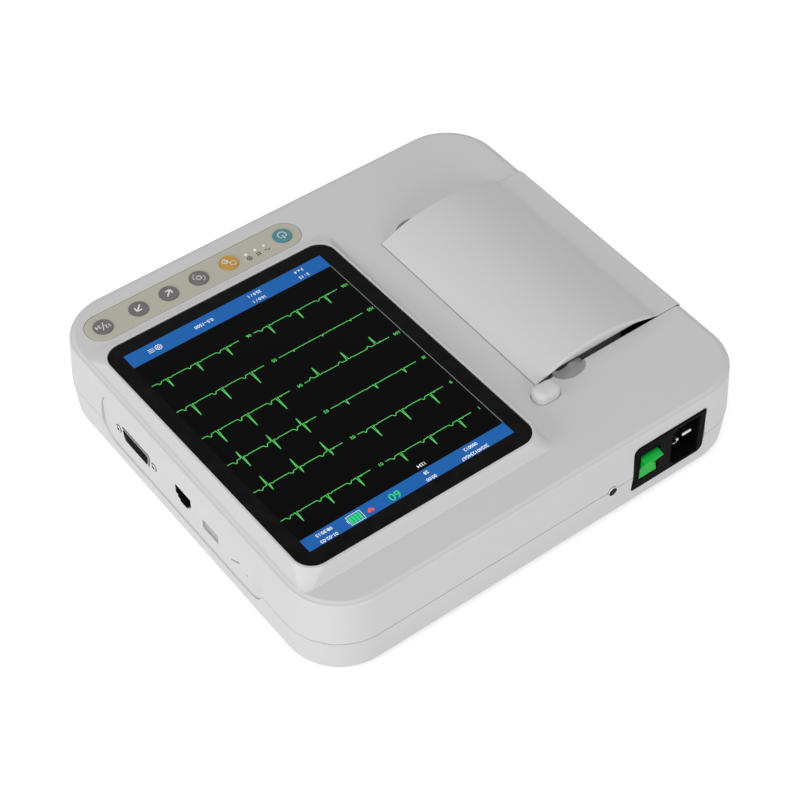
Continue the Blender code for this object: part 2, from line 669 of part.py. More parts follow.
def turned(profile, axis, centre, sides=ROUND_SIDES):
    """A turned piece: (place along the axis, radius) pairs, closed with flat ends."""
    rings = []
    for along, radius in profile:
        ring = disc(centre[0], centre[1], radius, sides)
        spread = {
            "X": lambda u, v, w: (w, u, v),
            "Y": lambda u, v, w: (u, w, v),
            "Z": lambda u, v, w: (u, v, w),
        }[axis]
        rings.append([spread(u, v, along) for u, v in ring])
    return stack(rings)


def merged(*meshes):
    """Several separate closed meshes as one, for a tool that works in several places."""
    whole = bmesh.new()
    for bm in meshes:
        held = bpy.data.meshes.new("held")
        bm.to_mesh(held)
        bm.free()
        whole.from_mesh(held)
        bpy.data.meshes.remove(held)
    return whole


def case_ring(inset, z):
    outline = centred(0, 0, CASE_WIDTH - 2 * inset, CASE_DEPTH - 2 * inset, CASE_CORNER - inset)
    return [(x, y, z) for x, y in outline]


def quarter(steps):
    return [math.pi / 2 * step / steps for step in range(steps + 1)]


def rear_face(z):
    """Y of the rear wall's outside at a height, on the leaning part of the cover or the base."""
    if z >= PARTING:
        lean = COVER_LEAN * (z - PARTING) / (COVER_HEIGHT - COVER_EDGE)
    else:
        lean = BASE_LEAN * (PARTING - z) / (BASE_HEIGHT - BASE_EDGE)
    return CASE_DEPTH / 2 - lean


def side_face(z):
    """X of the side wall's outside at a height on the cover."""
    return CASE_WIDTH / 2 - COVER_LEAN * (z - PARTING) / (COVER_HEIGHT - COVER_EDGE)


def hinge_x():
    return -side_face(HINGE_HEIGHT) - HINGE_SETBACK + HINGE_PIN_RADIUS


def barrel_radius():
    half = (DOOR_FREE_X - DOOR_VALLEY_X) / 2
    return (half**2 + DOOR_CREST**2) / (2 * DOOR_CREST)


def barrel_centre_x():
    return (DOOR_FREE_X + DOOR_VALLEY_X) / 2


def barrel_height(x, offset):
    """Z of the barrel's outside at x, moved in by an offset."""
    radius = barrel_radius()
    return DECK + DOOR_CREST - radius + math.sqrt((radius - offset) ** 2 - (x - barrel_centre_x()) ** 2)


def screw_places():
    return [
        (-FRONT_SCREW_X, -FRONT_SCREW_Y),
        (FRONT_SCREW_X, -FRONT_SCREW_Y),
        (REAR_SCREW_X, REAR_SCREW_Y),
        (-REAR_SCREW_X, REAR_SCREW_Y),
    ]


def window_half():
    return LCD_WIDTH / 2 + GAP, LCD_LENGTH / 2 + GAP


def along_strip(share):
    return STRIP_LEFT_X + share * (STRIP_RIGHT_X - STRIP_LEFT_X)


def key_boss_places():
    places = sorted(along_strip(share) for share in KEY_PLACE_SHARES.values())
    return (places[1] + places[2]) / 2, (places[4] + places[5]) / 2


def key_foot_height():
    return DECK_UNDERSIDE - GAP - KEY_FLANGE_HEIGHT - KEY_FOOT


def key_board_top():
    return key_foot_height() - KEY_TRAVEL - GAP


def lower_case(assembly, shared):
    """The lower shell with its battery bay, standoffs and screw bosses."""
    edge = [
        (BASE_LEAN + BASE_EDGE * (1 - math.sin(a)), STAND_HEIGHT + BASE_EDGE * (1 - math.cos(a)))
        for a in quarter(EDGE_STEPS)
    ]
    rings = [case_ring(inset, z) for inset, z in edge] + [case_ring(0, PARTING - GAP / 2)]
    base = piece("lower_case", stack(rings), assembly, WHITE_PLASTIC)
    hollow = [
        case_ring(BASE_LEAN + BASE_EDGE, FLOOR_TOP),
        case_ring(BASE_LEAN + SKIN, STAND_HEIGHT + BASE_EDGE),
        case_ring(SKIN, PARTING + OVERRUN),
    ]
    cut(base, "hollow", stack(hollow), assembly)

    bay_x = BATTERY_WIDTH / 2 + GAP
    bay_y = BATTERY_LENGTH / 2 + GAP
    bay_top = STAND_HEIGHT + SKIN + BATTERY_HEIGHT / 2
    bay = centred(BATTERY_X, BATTERY_Y, 2 * (bay_x + BAY_WALL), 2 * (bay_y + BAY_WALL), BATTERY_CORNER)
    added = [extruded(bay, "Z", FLOOR_TOP - SKIN / 2, bay_top)]
    for x, y in screw_places():
        added.append(extruded(disc(x, y, POST_RADIUS, SMALL_SIDES), "Z", FLOOR_TOP - SKIN / 2, boss_top()))
    for x, y in standoffs():
        top = BOARD_HEIGHT - GAP
        added.append(extruded(disc(x, y, STANDOFF_RADIUS, SMALL_SIDES), "Z", FLOOR_TOP - SKIN / 2, top))
    join(base, "bosses", merged(*added), assembly)

    inside = centred(BATTERY_X, BATTERY_Y, 2 * bay_x, 2 * bay_y, BATTERY_CORNER)
    through = [extruded(inside, "Z", 0, bay_top + OVERRUN)]
    for x, y in screw_places():
        hole = SCREW_RADIUS + SCREW_CLEARANCE
        through.append(extruded(disc(x, y, hole, SMALL_SIDES), "Z", 0, boss_top() + OVERRUN))
    for slot in range(GRILLE_SLOTS):
        x = SPEAKER_X + (slot - (GRILLE_SLOTS - 1) / 2) * GRILLE_PITCH
        outline = rectangle(
            x - GRILLE_SLOT_WIDTH / 2,
            x + GRILLE_SLOT_WIDTH / 2,
            SPEAKER_Y - GRILLE_SLOT_LENGTH / 2,
            SPEAKER_Y + GRILLE_SLOT_LENGTH / 2,
        )
        through.append(extruded(outline, "Z", 0, FLOOR_TOP + OVERRUN))
    cut(base, "through", merged(*through), assembly)

    sunk = [battery_plate(GAP, 0, STAND_HEIGHT + SKIN / 2)]
    for x, y in screw_places():
        head = SCREW_HEAD_RADIUS + SCREW_CLEARANCE
        sunk.append(extruded(disc(x, y, head, SMALL_SIDES), "Z", 0, STAND_HEIGHT + SCREW_SINK))
    for x, y in foot_places():
        seat = FOOT_RADIUS + GAP
        sunk.append(extruded(disc(x, y, seat, ROUND_SIDES), "Z", 0, STAND_HEIGHT + FOOT_SEAT_DEPTH))
    cut(base, "sunk", merged(*sunk), assembly)
    for helper in shared:
        shared_tool(base, "DIFFERENCE", helper)
    return base


def boss_top():
    return PARTING - POST_REACH - GAP


def foot_places():
    return [(x, y) for x in (-FOOT_X, FOOT_X) for y in (-FOOT_Y, FOOT_Y)]


def standoffs():
    places = []
    for x, y, width, length, _ in board_places().values():
        reach_x = width / 2 - STANDOFF_INSET
        reach_y = length / 2 - STANDOFF_INSET
        places += [(x + side * reach_x, y + end * reach_y) for side in (-1, 1) for end in (-1, 1)]
    return places


def battery_plate(grow, low, high):
    width = BATTERY_WIDTH + 2 * (COVER_PLATE_MARGIN + grow)
    length = BATTERY_LENGTH + 2 * (COVER_PLATE_MARGIN + grow)
    return extruded(centred(BATTERY_X, BATTERY_Y, width, length, BATTERY_CORNER), "Z", low, high)


def upper_case(assembly, screen, shared):
    """The upper shell with the raised screen frame, the key strip and the printer opening."""
    edge = [
        (COVER_LEAN + COVER_EDGE * (1 - math.cos(a)), DECK - COVER_EDGE * (1 - math.sin(a)))
        for a in quarter(EDGE_STEPS)
    ]
    rings = [case_ring(0, PARTING + GAP / 2)] + [case_ring(inset, z) for inset, z in edge]
    cover = piece("upper_case", stack(rings), assembly, WHITE_PLASTIC)
    join(cover, "screen_frame", screen_frame(), assembly)
    hollow = [
        case_ring(SKIN, PARTING - OVERRUN),
        case_ring(COVER_LEAN + SKIN, DECK - COVER_EDGE),
        case_ring(COVER_LEAN + COVER_EDGE, DECK_UNDERSIDE),
    ]
    cut(cover, "hollow", stack(hollow), assembly)

    opening = box(
        -CASE_WIDTH,
        DOOR_FREE_X + DOOR_GAP,
        hinge_front(),
        hinge_rear(),
        ear_foot(),
        DECK + OVERRUN,
    )
    cut(cover, "door_opening", opening, assembly)
    post_low = PARTING - POST_REACH
    added = [recess_block(end) for end in (-1, 1)]
    root = DECK_UNDERSIDE + SKIN / 2
    for x, y in screw_places():
        added.append(extruded(disc(x, y, POST_RADIUS, SMALL_SIDES), "Z", post_low, root))
    for x in key_boss_places():
        boss = disc(x, STRIP_Y, KEY_BOSS_RADIUS, SMALL_SIDES)
        added.append(extruded(boss, "Z", key_board_top() + GAP, root))
    join(cover, "posts", merged(*added), assembly)

    window_x, window_y = window_half()
    glass = centred(0, 0, GLASS_WIDTH + 2 * GAP, GLASS_LENGTH + 2 * GAP, GLASS_CORNER + GAP)
    cut(cover, "glass_seat", extruded(glass, "Z", -GLASS_THICKNESS - GAP, OVERRUN), screen)
    window = rectangle(-window_x, window_x, -window_y, window_y)
    cut(cover, "window", extruded(window, "Z", -DECK / 2, 0), screen)
    tray_x = window_x + TRAY_WALL + GAP
    tray_y = window_y + TRAY_WALL + GAP
    pocket_top = -GLASS_THICKNESS - GAP - LEDGE_THICKNESS
    pocket = rectangle(-tray_x, tray_x, -tray_y, tray_y)
    cut(cover, "tray_pocket", extruded(pocket, "Z", -DECK / 2, pocket_top), screen)

    strip = rounded(
        STRIP_LEFT_X - GAP,
        STRIP_RIGHT_X + GAP,
        STRIP_Y - STRIP_WIDTH / 2 - GAP,
        STRIP_Y + STRIP_WIDTH / 2 + GAP,
        STRIP_WIDTH / 2 + GAP,
    )
    cut(cover, "strip_seat", extruded(strip, "Z", DECK - OVERLAY_THICKNESS - GAP, DECK + OVERRUN), assembly)
    cut(cover, "key_holes", key_holes(DECK_UNDERSIDE - OVERRUN), assembly)

    cut(cover, "finger_recesses", merged(*[recess_dish(end) for end in (-1, 1)]), assembly)
    hole = centred(
        BUTTON_X, BUTTON_Y, BUTTON_WIDTH + 2 * GAP, BUTTON_LENGTH + 2 * GAP, BUTTON_CORNER + GAP
    )
    cut(cover, "button_hole", extruded(hole, "Z", DECK_UNDERSIDE - OVERRUN, DECK + OVERRUN), assembly)
    join(cover, "hinge_ears", hinge_ears(), assembly)
    bores = []
    for x, y in screw_places():
        pilot = disc(x, y, SCREW_RADIUS + SCREW_CLEARANCE, SMALL_SIDES)
        bores.append(extruded(pilot, "Z", post_low - OVERRUN, post_low + PILOT_DEPTH))
    pin_bore = disc(hinge_x(), HINGE_HEIGHT, HINGE_PIN_RADIUS + GAP, SMALL_SIDES)
    bores.append(extruded(pin_bore, "Y", hinge_front() + GAP, hinge_rear() - GAP))
    cut(cover, "bores", merged(*bores), assembly)
    for helper in shared:
        shared_tool(cover, "DIFFERENCE", helper)
    return cover


def screen_frame():
    """The raised frame: from its foot on the deck up to a rim in the plane of the glass."""
    half_x = GLASS_WIDTH / 2 + GAP + RIM_WIDTH
    half_y = GLASS_LENGTH / 2 + GAP + RIM_WIDTH
    corner = GLASS_CORNER + GAP + RIM_WIDTH
    foot = rounded(
        SCREEN_X - half_x - SKIRT_SIDE,
        SCREEN_X + half_x + SKIRT_SIDE,
        SCREEN_Y - half_y - SKIRT_FRONT,
        SCREEN_Y + half_y + SKIRT_REAR,
        corner + SKIRT_SIDE,
    )
    tilt = Matrix.Rotation(SCREEN_TILT, 4, "X")
    centre = Vector((SCREEN_X, SCREEN_Y, DECK + SCREEN_RISE))
    rim = [centre + tilt @ Vector((x, y, 0)) for x, y in rounded(-half_x, half_x, -half_y, half_y, corner)]
    return stack(
        [
            [(x, y, DECK_UNDERSIDE + SKIN / 2) for x, y in foot],
            [(x, y, DECK) for x, y in foot],
            rim,
        ]
    )


def key_holes(low):
    outlines = [disc(along_strip(share), STRIP_Y, KEY_RADIUS + GAP) for share in KEY_PLACE_SHARES.values()]
    for share in LAMP_PLACE_SHARES:
        outlines.append(disc(along_strip(share), STRIP_Y, LAMP_RADIUS + GAP, SMALL_SIDES))
    return merged(*[extruded(outline, "Z", low, DECK + OVERRUN) for outline in outlines])


def recess_edge(end):
    return hinge_rear() if end > 0 else hinge_front()


def recess_inner(end):
    """Y of a recess's wall on the door's side: under the door's ledge at the rear only."""
    return hinge_rear() - RECESS_UNDERCUT if end > 0 else hinge_front() + GAP / 2


def recess_block(end):
    """The solid under the deck that a finger recess is sunk into, with a wall under the door."""
    half = RECESS_HALF_LENGTH + RECESS_WALL
    low = DECK - RECESS_DEPTH - RECESS_WALL
    high = DECK - SKIN / 2
    inner = recess_inner(end) - end * RECESS_WALL
    step = recess_edge(end) + end * RECESS_WALL / 2
    outer = recess_edge(end) + end * (RECESS_REACH + RECESS_WALL)
    under_door = DECK_UNDERSIDE - GAP
    outline = [
        (inner, low),
        (outer, low),
        (outer, high),
        (step, high),
        (step, under_door),
        (inner, under_door),
    ]
    return extruded(outline, "X", RECESS_X - half, RECESS_X + half)


def recess_ring(end, spread, z):
    """A D seen from above: half an ellipse beyond the door's edge, closed by a straight wall."""
    half = RECESS_HALF_LENGTH * spread
    edge = recess_edge(end)
    ring = [(RECESS_X + half, recess_inner(end), z)]
    for step in range(RECESS_STEPS + 1):
        angle = math.pi * step / RECESS_STEPS
        y = edge + end * RECESS_REACH * spread * math.sin(angle)
        ring.append((RECESS_X + half * math.cos(angle), y, z))
    return ring + [(RECESS_X - half, recess_inner(end), z)]


def recess_dish(end):
    """A bowl, deepest at the door's edge."""
    rings = [recess_ring(end, 1, DECK + OVERRUN)]
    for share in RECESS_DEPTH_SHARES:
        spread = math.sqrt(1 - (share * RECESS_ROUND_SHARE) ** 2)
        rings.append(recess_ring(end, spread, DECK - share * RECESS_DEPTH))
    return stack(rings)


def ear_foot():
    return HINGE_HEIGHT - HINGE_RADIUS - GAP


def hinge_front():
    return DOOR_FRONT_Y - DOOR_GAP


def hinge_rear():
    return FLANK_REAR_Y + DOOR_GAP


def ear_spans():
    middle = (hinge_front() + hinge_rear()) / 2
    return [
        (hinge_front() - GAP, hinge_front() + HINGE_EAR_LENGTH),
        (middle - HINGE_MID_EAR_LENGTH / 2, middle + HINGE_MID_EAR_LENGTH / 2),
        (hinge_rear() - HINGE_EAR_LENGTH, hinge_rear() + GAP),
    ]


def ear_outline(radius, low):
    """A hinge ear seen along the pin: a half disc on a stalk that reaches down to the wall."""
    x = hinge_x()
    points = [(x - radius, low), (x + radius, low)]
    for step in range(SMALL_SIDES // 2 + 1):
        angle = 2 * math.pi * step / SMALL_SIDES
        points.append((x + radius * math.cos(angle), HINGE_HEIGHT + radius * math.sin(angle)))
    return points


def hinge_ears():
    outline = ear_outline(HINGE_RADIUS, ear_foot() - SKIN)
    return merged(*[extruded(outline, "Y", low, high) for low, high in ear_spans()])


def printer_door(assembly):
    """The door: a barrel over the paper roll and a flat flank that wraps over the case's edge."""
    hinge = (hinge_x(), 0, HINGE_HEIGHT)
    top = DECK + DOOR_PROUD
    radius = barrel_radius()
    reach = math.asin((DOOR_FREE_X - DOOR_VALLEY_X) / 2 / radius)
    arc = []
    for step in range(BARREL_STEPS + 1):
        angle = reach * (1 - 2 * step / BARREL_STEPS)
        x = barrel_centre_x() + radius * math.sin(angle)
        arc.append((x, max(barrel_height(x, 0), DECK) + DOOR_PROUD))
    wall_x = -side_face(HINGE_HEIGHT) - DOOR_PROUD
    bend = COVER_EDGE + DOOR_PROUD
    outside = [
        (wall_x + bend * (1 - math.sin(a)), top - bend * (1 - math.cos(a))) for a in quarter(EDGE_STEPS)
    ]
    low = DECK - DOOR_WALL
    lip_low = HINGE_HEIGHT
    inner_x = wall_x + DOOR_WALL
    outline = [(DOOR_FREE_X, low)] + arc + outside + [(wall_x, lip_low), (inner_x, lip_low), (inner_x, low)]
    door = piece(
        "printer_door",
        extruded(outline, "Y", DOOR_FRONT_Y, FLANK_REAR_Y),
        assembly,
        WHITE_PLASTIC,
        hinge,
    )
    cut(door, "rear_step", door_rear_step(low), assembly)
    knuckle = extruded(
        disc(hinge_x(), HINGE_HEIGHT, HINGE_RADIUS, SMALL_SIDES),
        "Y",
        ear_spans()[0][1] + GAP,
        ear_spans()[2][0] - GAP,
    )
    join(door, "knuckle", knuckle, assembly)

    inside = [(DOOR_FREE_X - DOOR_WALL, low - OVERRUN)]
    for step in range(BARREL_STEPS + 1):
        share = step / BARREL_STEPS
        x = DOOR_FREE_X - DOOR_WALL + share * (DOOR_VALLEY_X - DOOR_FREE_X + 2 * DOOR_WALL)
        inside.append((x, max(barrel_height(x, DOOR_WALL), low - OVERRUN / 2)))
    inside.append((DOOR_VALLEY_X + DOOR_WALL, low - OVERRUN))
    cut(
        door,
        "hollow",
        extruded(inside, "Y", DOOR_FRONT_Y + DOOR_WALL, DOOR_REAR_Y - DOOR_WALL),
        assembly,
    )
    join(door, "cheeks", door_cheeks(), assembly)

    slot = ear_outline(HINGE_RADIUS + GAP, HINGE_HEIGHT - 2 * HINGE_RADIUS)
    spaces = [extruded(slot, "Y", low - GAP, high + GAP) for low, high in ear_spans()]
    cut(door, "ear_spaces", merged(*spaces), assembly)
    pin_bore = disc(hinge_x(), HINGE_HEIGHT, HINGE_PIN_RADIUS + GAP, SMALL_SIDES)
    shaft_bore = disc(PLATEN_X, PLATEN_Z, PLATEN_SHAFT_RADIUS + GAP, SMALL_SIDES)
    gear_space = disc(PLATEN_X, PLATEN_Z, GEAR_MODULE * (PLATEN_TEETH / 2 + 1) + GAP)
    bores = [
        extruded(pin_bore, "Y", hinge_front() - GAP, hinge_rear() + GAP),
        extruded(shaft_bore, "Y", GEAR_FACE_Y + GAP, DOOR_REAR_Y),
        extruded(gear_space, "Y", GEAR_FACE_Y - GEAR_WIDTH - GAP, GEAR_FACE_Y + GAP / 2),
    ]
    cut(door, "bores", merged(*bores), assembly)
    return door


def door_rear_step(low):
    """What the barrel's rear end lacks: all above a thin ledge, and the ledge too beside the button."""
    button_side = BUTTON_X - BUTTON_WIDTH / 2 - DOOR_GAP
    free_side = DOOR_FREE_X + OVERRUN
    top = DECK + DOOR_CREST + OVERRUN
    outline = [
        (DOOR_VALLEY_X, low + DOOR_LEDGE),
        (button_side, low + DOOR_LEDGE),
        (button_side, low - OVERRUN),
        (free_side, low - OVERRUN),
        (free_side, top),
        (DOOR_VALLEY_X, top),
    ]
    return extruded(outline, "Y", DOOR_REAR_Y, FLANK_REAR_Y + OVERRUN)


def door_cheeks():
    """The two plates under the door that carry the platen's shaft."""
    steps = 4
    low = PLATEN_Z - PLATEN_SHAFT_RADIUS - CHEEK_DROP / 2
    outline = [(CHEEK_INNER_X, low), (CHEEK_OUTER_X, low)]
    for step in range(steps + 1):
        x = CHEEK_OUTER_X + (CHEEK_INNER_X - CHEEK_OUTER_X) * step / steps
        outline.append((x, barrel_height(x, DOOR_WALL / 2)))
    plates = []
    for side in (-1, 1):
        y_low, y_high = sorted((side * CHEEK_OFFSET, side * (CHEEK_OFFSET + CHEEK_THICKNESS)))
        plates.append(extruded(outline, "Y", y_low, y_high))
    return merged(*plates)


def hinge_pin(assembly):
    outline = disc(hinge_x(), HINGE_HEIGHT, HINGE_PIN_RADIUS, SMALL_SIDES)
    bm = extruded(outline, "Y", hinge_front() + 2 * GAP, hinge_rear() - 2 * GAP)
    piece("hinge_pin", bm, assembly, STEEL)


def gear_outline(x, z, teeth, turn):
    """A spur gear seen along its axle: straight-sided teeth round a pitch circle."""
    pitch = GEAR_MODULE * teeth / 2
    top = pitch + TOOTH_OUT_SHARE * GEAR_MODULE
    foot = pitch - TOOTH_IN_SHARE * GEAR_MODULE
    step = 2 * math.pi / teeth
    points = []
    for tooth in range(teeth):
        middle = turn + tooth * step
        for share, radius in (
            (-TOOTH_FOOT_SHARE, foot),
            (-TOOTH_TOP_SHARE, top),
            (TOOTH_TOP_SHARE, top),
            (TOOTH_FOOT_SHARE, foot),
        ):
            angle = middle + share * step
            points.append((x + radius * math.cos(angle), z + radius * math.sin(angle)))
    return points


def gear_blank(outline):
    return extruded(outline, "Y", GEAR_FACE_Y - GEAR_WIDTH, GEAR_FACE_Y)


def gear_bore(gear, x, z, radius, assembly):
    outline = disc(x, z, radius, SMALL_SIDES)
    bore = extruded(outline, "Y", GEAR_FACE_Y - GEAR_WIDTH - OVERRUN, GEAR_FACE_Y + OVERRUN)
    cut(gear, "bore", bore, assembly)


def platen(assembly):
    """The rubber roller, its shaft and its gear, which the door carries."""
    centre = (PLATEN_X, 0, PLATEN_Z)
    half = PLATEN_LENGTH / 2
    roller = extruded(disc(PLATEN_X, PLATEN_Z, PLATEN_RADIUS), "Y", -half, half)
    rubber = piece("platen_roller", roller, assembly, RUBBER, centre)
    bore = disc(PLATEN_X, PLATEN_Z, PLATEN_SHAFT_RADIUS + GAP, SMALL_SIDES)
    cut(rubber, "bore", extruded(bore, "Y", -half - OVERRUN, half + OVERRUN), assembly)
    outline = disc(PLATEN_X, PLATEN_Z, PLATEN_SHAFT_RADIUS, SMALL_SIDES)
    shaft = extruded(outline, "Y", PLATEN_FRONT_Y, PLATEN_REAR_Y)
    piece("platen_shaft", shaft, assembly, STEEL, centre)
    teeth = gear_outline(PLATEN_X, PLATEN_Z, PLATEN_TEETH, 0)
    gear = piece("platen_gear", gear_blank(teeth), assembly, GEAR_PLASTIC, centre)
    gear_bore(gear, PLATEN_X, PLATEN_Z, PLATEN_SHAFT_RADIUS + GAP, assembly)


def drive_gears(assembly):
    """The idler on its stub axle and the motor's pinion with its shaft."""
    teeth = gear_outline(PLATEN_X, IDLER_Z, IDLER_TEETH, math.pi / IDLER_TEETH)
    idler = piece("idler_gear", gear_blank(teeth), assembly, GEAR_PLASTIC, (PLATEN_X, 0, IDLER_Z))
    gear_bore(idler, PLATEN_X, IDLER_Z, IDLER_AXLE_RADIUS + GAP, assembly)
    teeth = gear_outline(PLATEN_X, MOTOR_Z, PINION_TEETH, math.pi / PINION_TEETH)
    pinion = piece("motor_pinion", gear_blank(teeth), assembly, BRASS, (PLATEN_X, 0, MOTOR_Z))
    outline = disc(PLATEN_X, MOTOR_Z, MOTOR_SHAFT_RADIUS, SMALL_SIDES)
    shaft = extruded(outline, "Y", GEAR_FACE_Y - GEAR_WIDTH / 2, motor_front() + MOTOR_SHAFT_DEPTH)
    join(pinion, "shaft", shaft, assembly)


def motor_front():
    return GEAR_FACE_Y + GAP + MOTOR_PLATE


def feed_motor(assembly):
    z = MOTOR_Z
    start = motor_front()
    can = extruded(disc(PLATEN_X, z, MOTOR_RADIUS), "Y", start, start + MOTOR_LENGTH)
    motor = piece("feed_motor", can, assembly, ALUMINIUM)
    plate = rectangle(
        PLATEN_X - MOTOR_PLATE_WIDTH / 2,
        PLATEN_X + MOTOR_PLATE_WIDTH / 2,
        z - MOTOR_PLATE_HEIGHT / 2,
        z + MOTOR_PLATE_HEIGHT / 2,
    )
    join(motor, "plate", extruded(plate, "Y", start - MOTOR_PLATE / 2, start + MOTOR_PLATE / 2), assembly)
    bore = disc(PLATEN_X, z, MOTOR_SHAFT_RADIUS + GAP, SMALL_SIDES)
    cut(motor, "bore", extruded(bore, "Y", start - OVERRUN, start + MOTOR_SHAFT_DEPTH + GAP), assembly)


def print_head(assembly):
    face = PLATEN_X + PLATEN_RADIUS + GAP
    half = HEAD_LENGTH / 2
    plate = box(face, face + HEAD_THICKNESS, -half, half, HEAD_LOW, HEAD_HIGH)
    piece("print_head", plate, assembly, CERAMIC)
    front = face + HEAD_THICKNESS + GAP
    back = CHASSIS_RIGHT_X - CHASSIS_WALL - GAP
    block = box(front, back, -half, half, SINK_LOW, HEAD_HIGH)
    sink = piece("head_heat_sink", block, assembly, ALUMINIUM)
    slots = []
    for slot in range(SINK_SLOTS):
        y = HEAD_LENGTH * ((slot + 1) / (SINK_SLOTS + 1) - 1 / 2)
        outline = rectangle(front - OVERRUN, back + OVERRUN, y - SINK_SLOT / 2, y + SINK_SLOT / 2)
        slots.append(extruded(outline, "Z", SINK_LOW - OVERRUN, SINK_LOW + SINK_SLOT_DEPTH))
    cut(sink, "slots", merged(*slots), assembly)


def printer_chassis(assembly):
    """The tub that carries the roll, the motor, the head and the latch."""
    low = FLOOR_TOP + GAP
    blank = box(CHASSIS_LEFT_X, CHASSIS_RIGHT_X, CHASSIS_FRONT_Y, CHASSIS_REAR_Y, low, CHASSIS_TOP)
    tub = piece("printer_chassis", blank, assembly, DARK_PLASTIC)
    inner_front = CHASSIS_FRONT_Y + CHASSIS_WALL
    inner_rear = CHASSIS_REAR_Y - CHASSIS_WALL
    hollow = box(
        CHASSIS_LEFT_X + CHASSIS_WALL,
        CHASSIS_RIGHT_X - CHASSIS_WALL,
        inner_front,
        inner_rear,
        low + CHASSIS_WALL,
        CHASSIS_TOP + OVERRUN,
    )
    cut(tub, "hollow", hollow, assembly)
    root = low + CHASSIS_WALL / 2
    latch_axle = disc(LATCH_X, LATCH_Z, LATCH_AXLE_RADIUS, SMALL_SIDES)
    idler_axle = disc(PLATEN_X, IDLER_Z, IDLER_AXLE_RADIUS, SMALL_SIDES)
    shelf = rectangle(SHELF_LEFT_X, CHASSIS_RIGHT_X, inner_rear + CHASSIS_WALL / 2, SHELF_REAR_Y)
    saddle_start = motor_front() + MOTOR_PLATE
    saddle = rectangle(
        PLATEN_X - SADDLE_WIDTH / 2,
        PLATEN_X + SADDLE_WIDTH / 2,
        saddle_start,
        saddle_start + MOTOR_LENGTH - MOTOR_PLATE,
    )
    added = [
        extruded(latch_axle, "Y", LATCH_FRONT_Y, inner_rear + CHASSIS_WALL / 2),
        extruded(idler_axle, "Y", inner_front - CHASSIS_WALL / 2, GEAR_FACE_Y),
        extruded(shelf, "Z", SHELF_TOP - SHELF_THICKNESS, SHELF_TOP),
        extruded(saddle, "Z", root, MOTOR_Z - MOTOR_RADIUS - GAP),
    ]
    for side in (-1, 1):
        middle = side * cradle_middle()
        cradle = centred(ROLL_X, middle, CRADLE_WIDTH, CRADLE_THICKNESS, GAP, 1)
        added.append(extruded(cradle, "Z", root, CRADLE_TOP))
    join(tub, "fittings", merged(*added), assembly)
    cut(tub, "openings", merged(*chassis_openings(inner_rear)), assembly)


def chassis_openings(inner_rear):
    """The button stem's hole, the latch tail's window and the slots that the spindle drops into."""
    stem_hole = centred(STEM_X, STEM_Y, STEM_WIDTH + 2 * GAP, STEM_LENGTH + 2 * GAP, GAP, 1)
    window = rectangle(
        STEM_X - STEM_WIDTH / 2 - TAIL_WINDOW_MARGIN,
        STEM_X + STEM_WIDTH / 2 + TAIL_WINDOW_MARGIN,
        LATCH_Z - TAIL_WINDOW_MARGIN,
        TAIL_HIGH + TAIL_WINDOW_MARGIN,
    )
    openings = [
        extruded(stem_hole, "Z", SHELF_TOP - SHELF_THICKNESS - OVERRUN, SHELF_TOP + OVERRUN),
        extruded(window, "Y", inner_rear - OVERRUN, CHASSIS_REAR_Y + OVERRUN),
    ]
    slot = open_slot(ROLL_X, ROLL_Z, JOURNAL_RADIUS + GAP, CRADLE_TOP + OVERRUN)
    for side in (-1, 1):
        middle = side * cradle_middle()
        openings.append(extruded(slot, "Y", middle - CRADLE_THICKNESS, middle + CRADLE_THICKNESS))
    return openings


def cradle_middle():
    return PAPER_WIDTH / 2 + CRADLE_CLEARANCE + CRADLE_THICKNESS / 2


def open_slot(x, z, radius, top):
    """A slot with a round foot, open at the top."""
    points = [(x + radius, top), (x - radius, top)]
    for step in range(SMALL_SIDES // 2 + 1):
        angle = math.pi + 2 * math.pi * step / SMALL_SIDES
        points.append((x + radius * math.cos(angle), z + radius * math.sin(angle)))
    return points


def paper_roll(assembly):
    centre = (ROLL_X, 0, ROLL_Z)
    half = PAPER_WIDTH / 2
    blank = extruded(disc(ROLL_X, ROLL_Z, ROLL_RADIUS, 2 * ROUND_SIDES), "Y", -half, half)
    roll = piece("paper_roll", blank, assembly, PAPER, centre)
    core = disc(ROLL_X, ROLL_Z, SPINDLE_RADIUS + GAP)
    cut(roll, "core", extruded(core, "Y", -half - OVERRUN, half + OVERRUN), assembly)
    end = cradle_middle() + CRADLE_THICKNESS / 2 + GAP
    profile = [
        (-end, JOURNAL_RADIUS),
        (-half - GAP, JOURNAL_RADIUS),
        (-half, SPINDLE_RADIUS),
        (half, SPINDLE_RADIUS),
        (half + GAP, JOURNAL_RADIUS),
        (end, JOURNAL_RADIUS),
    ]
    spindle = turned(profile, "Y", (ROLL_X, ROLL_Z))
    piece("paper_spindle", spindle, assembly, GEAR_PLASTIC, centre)


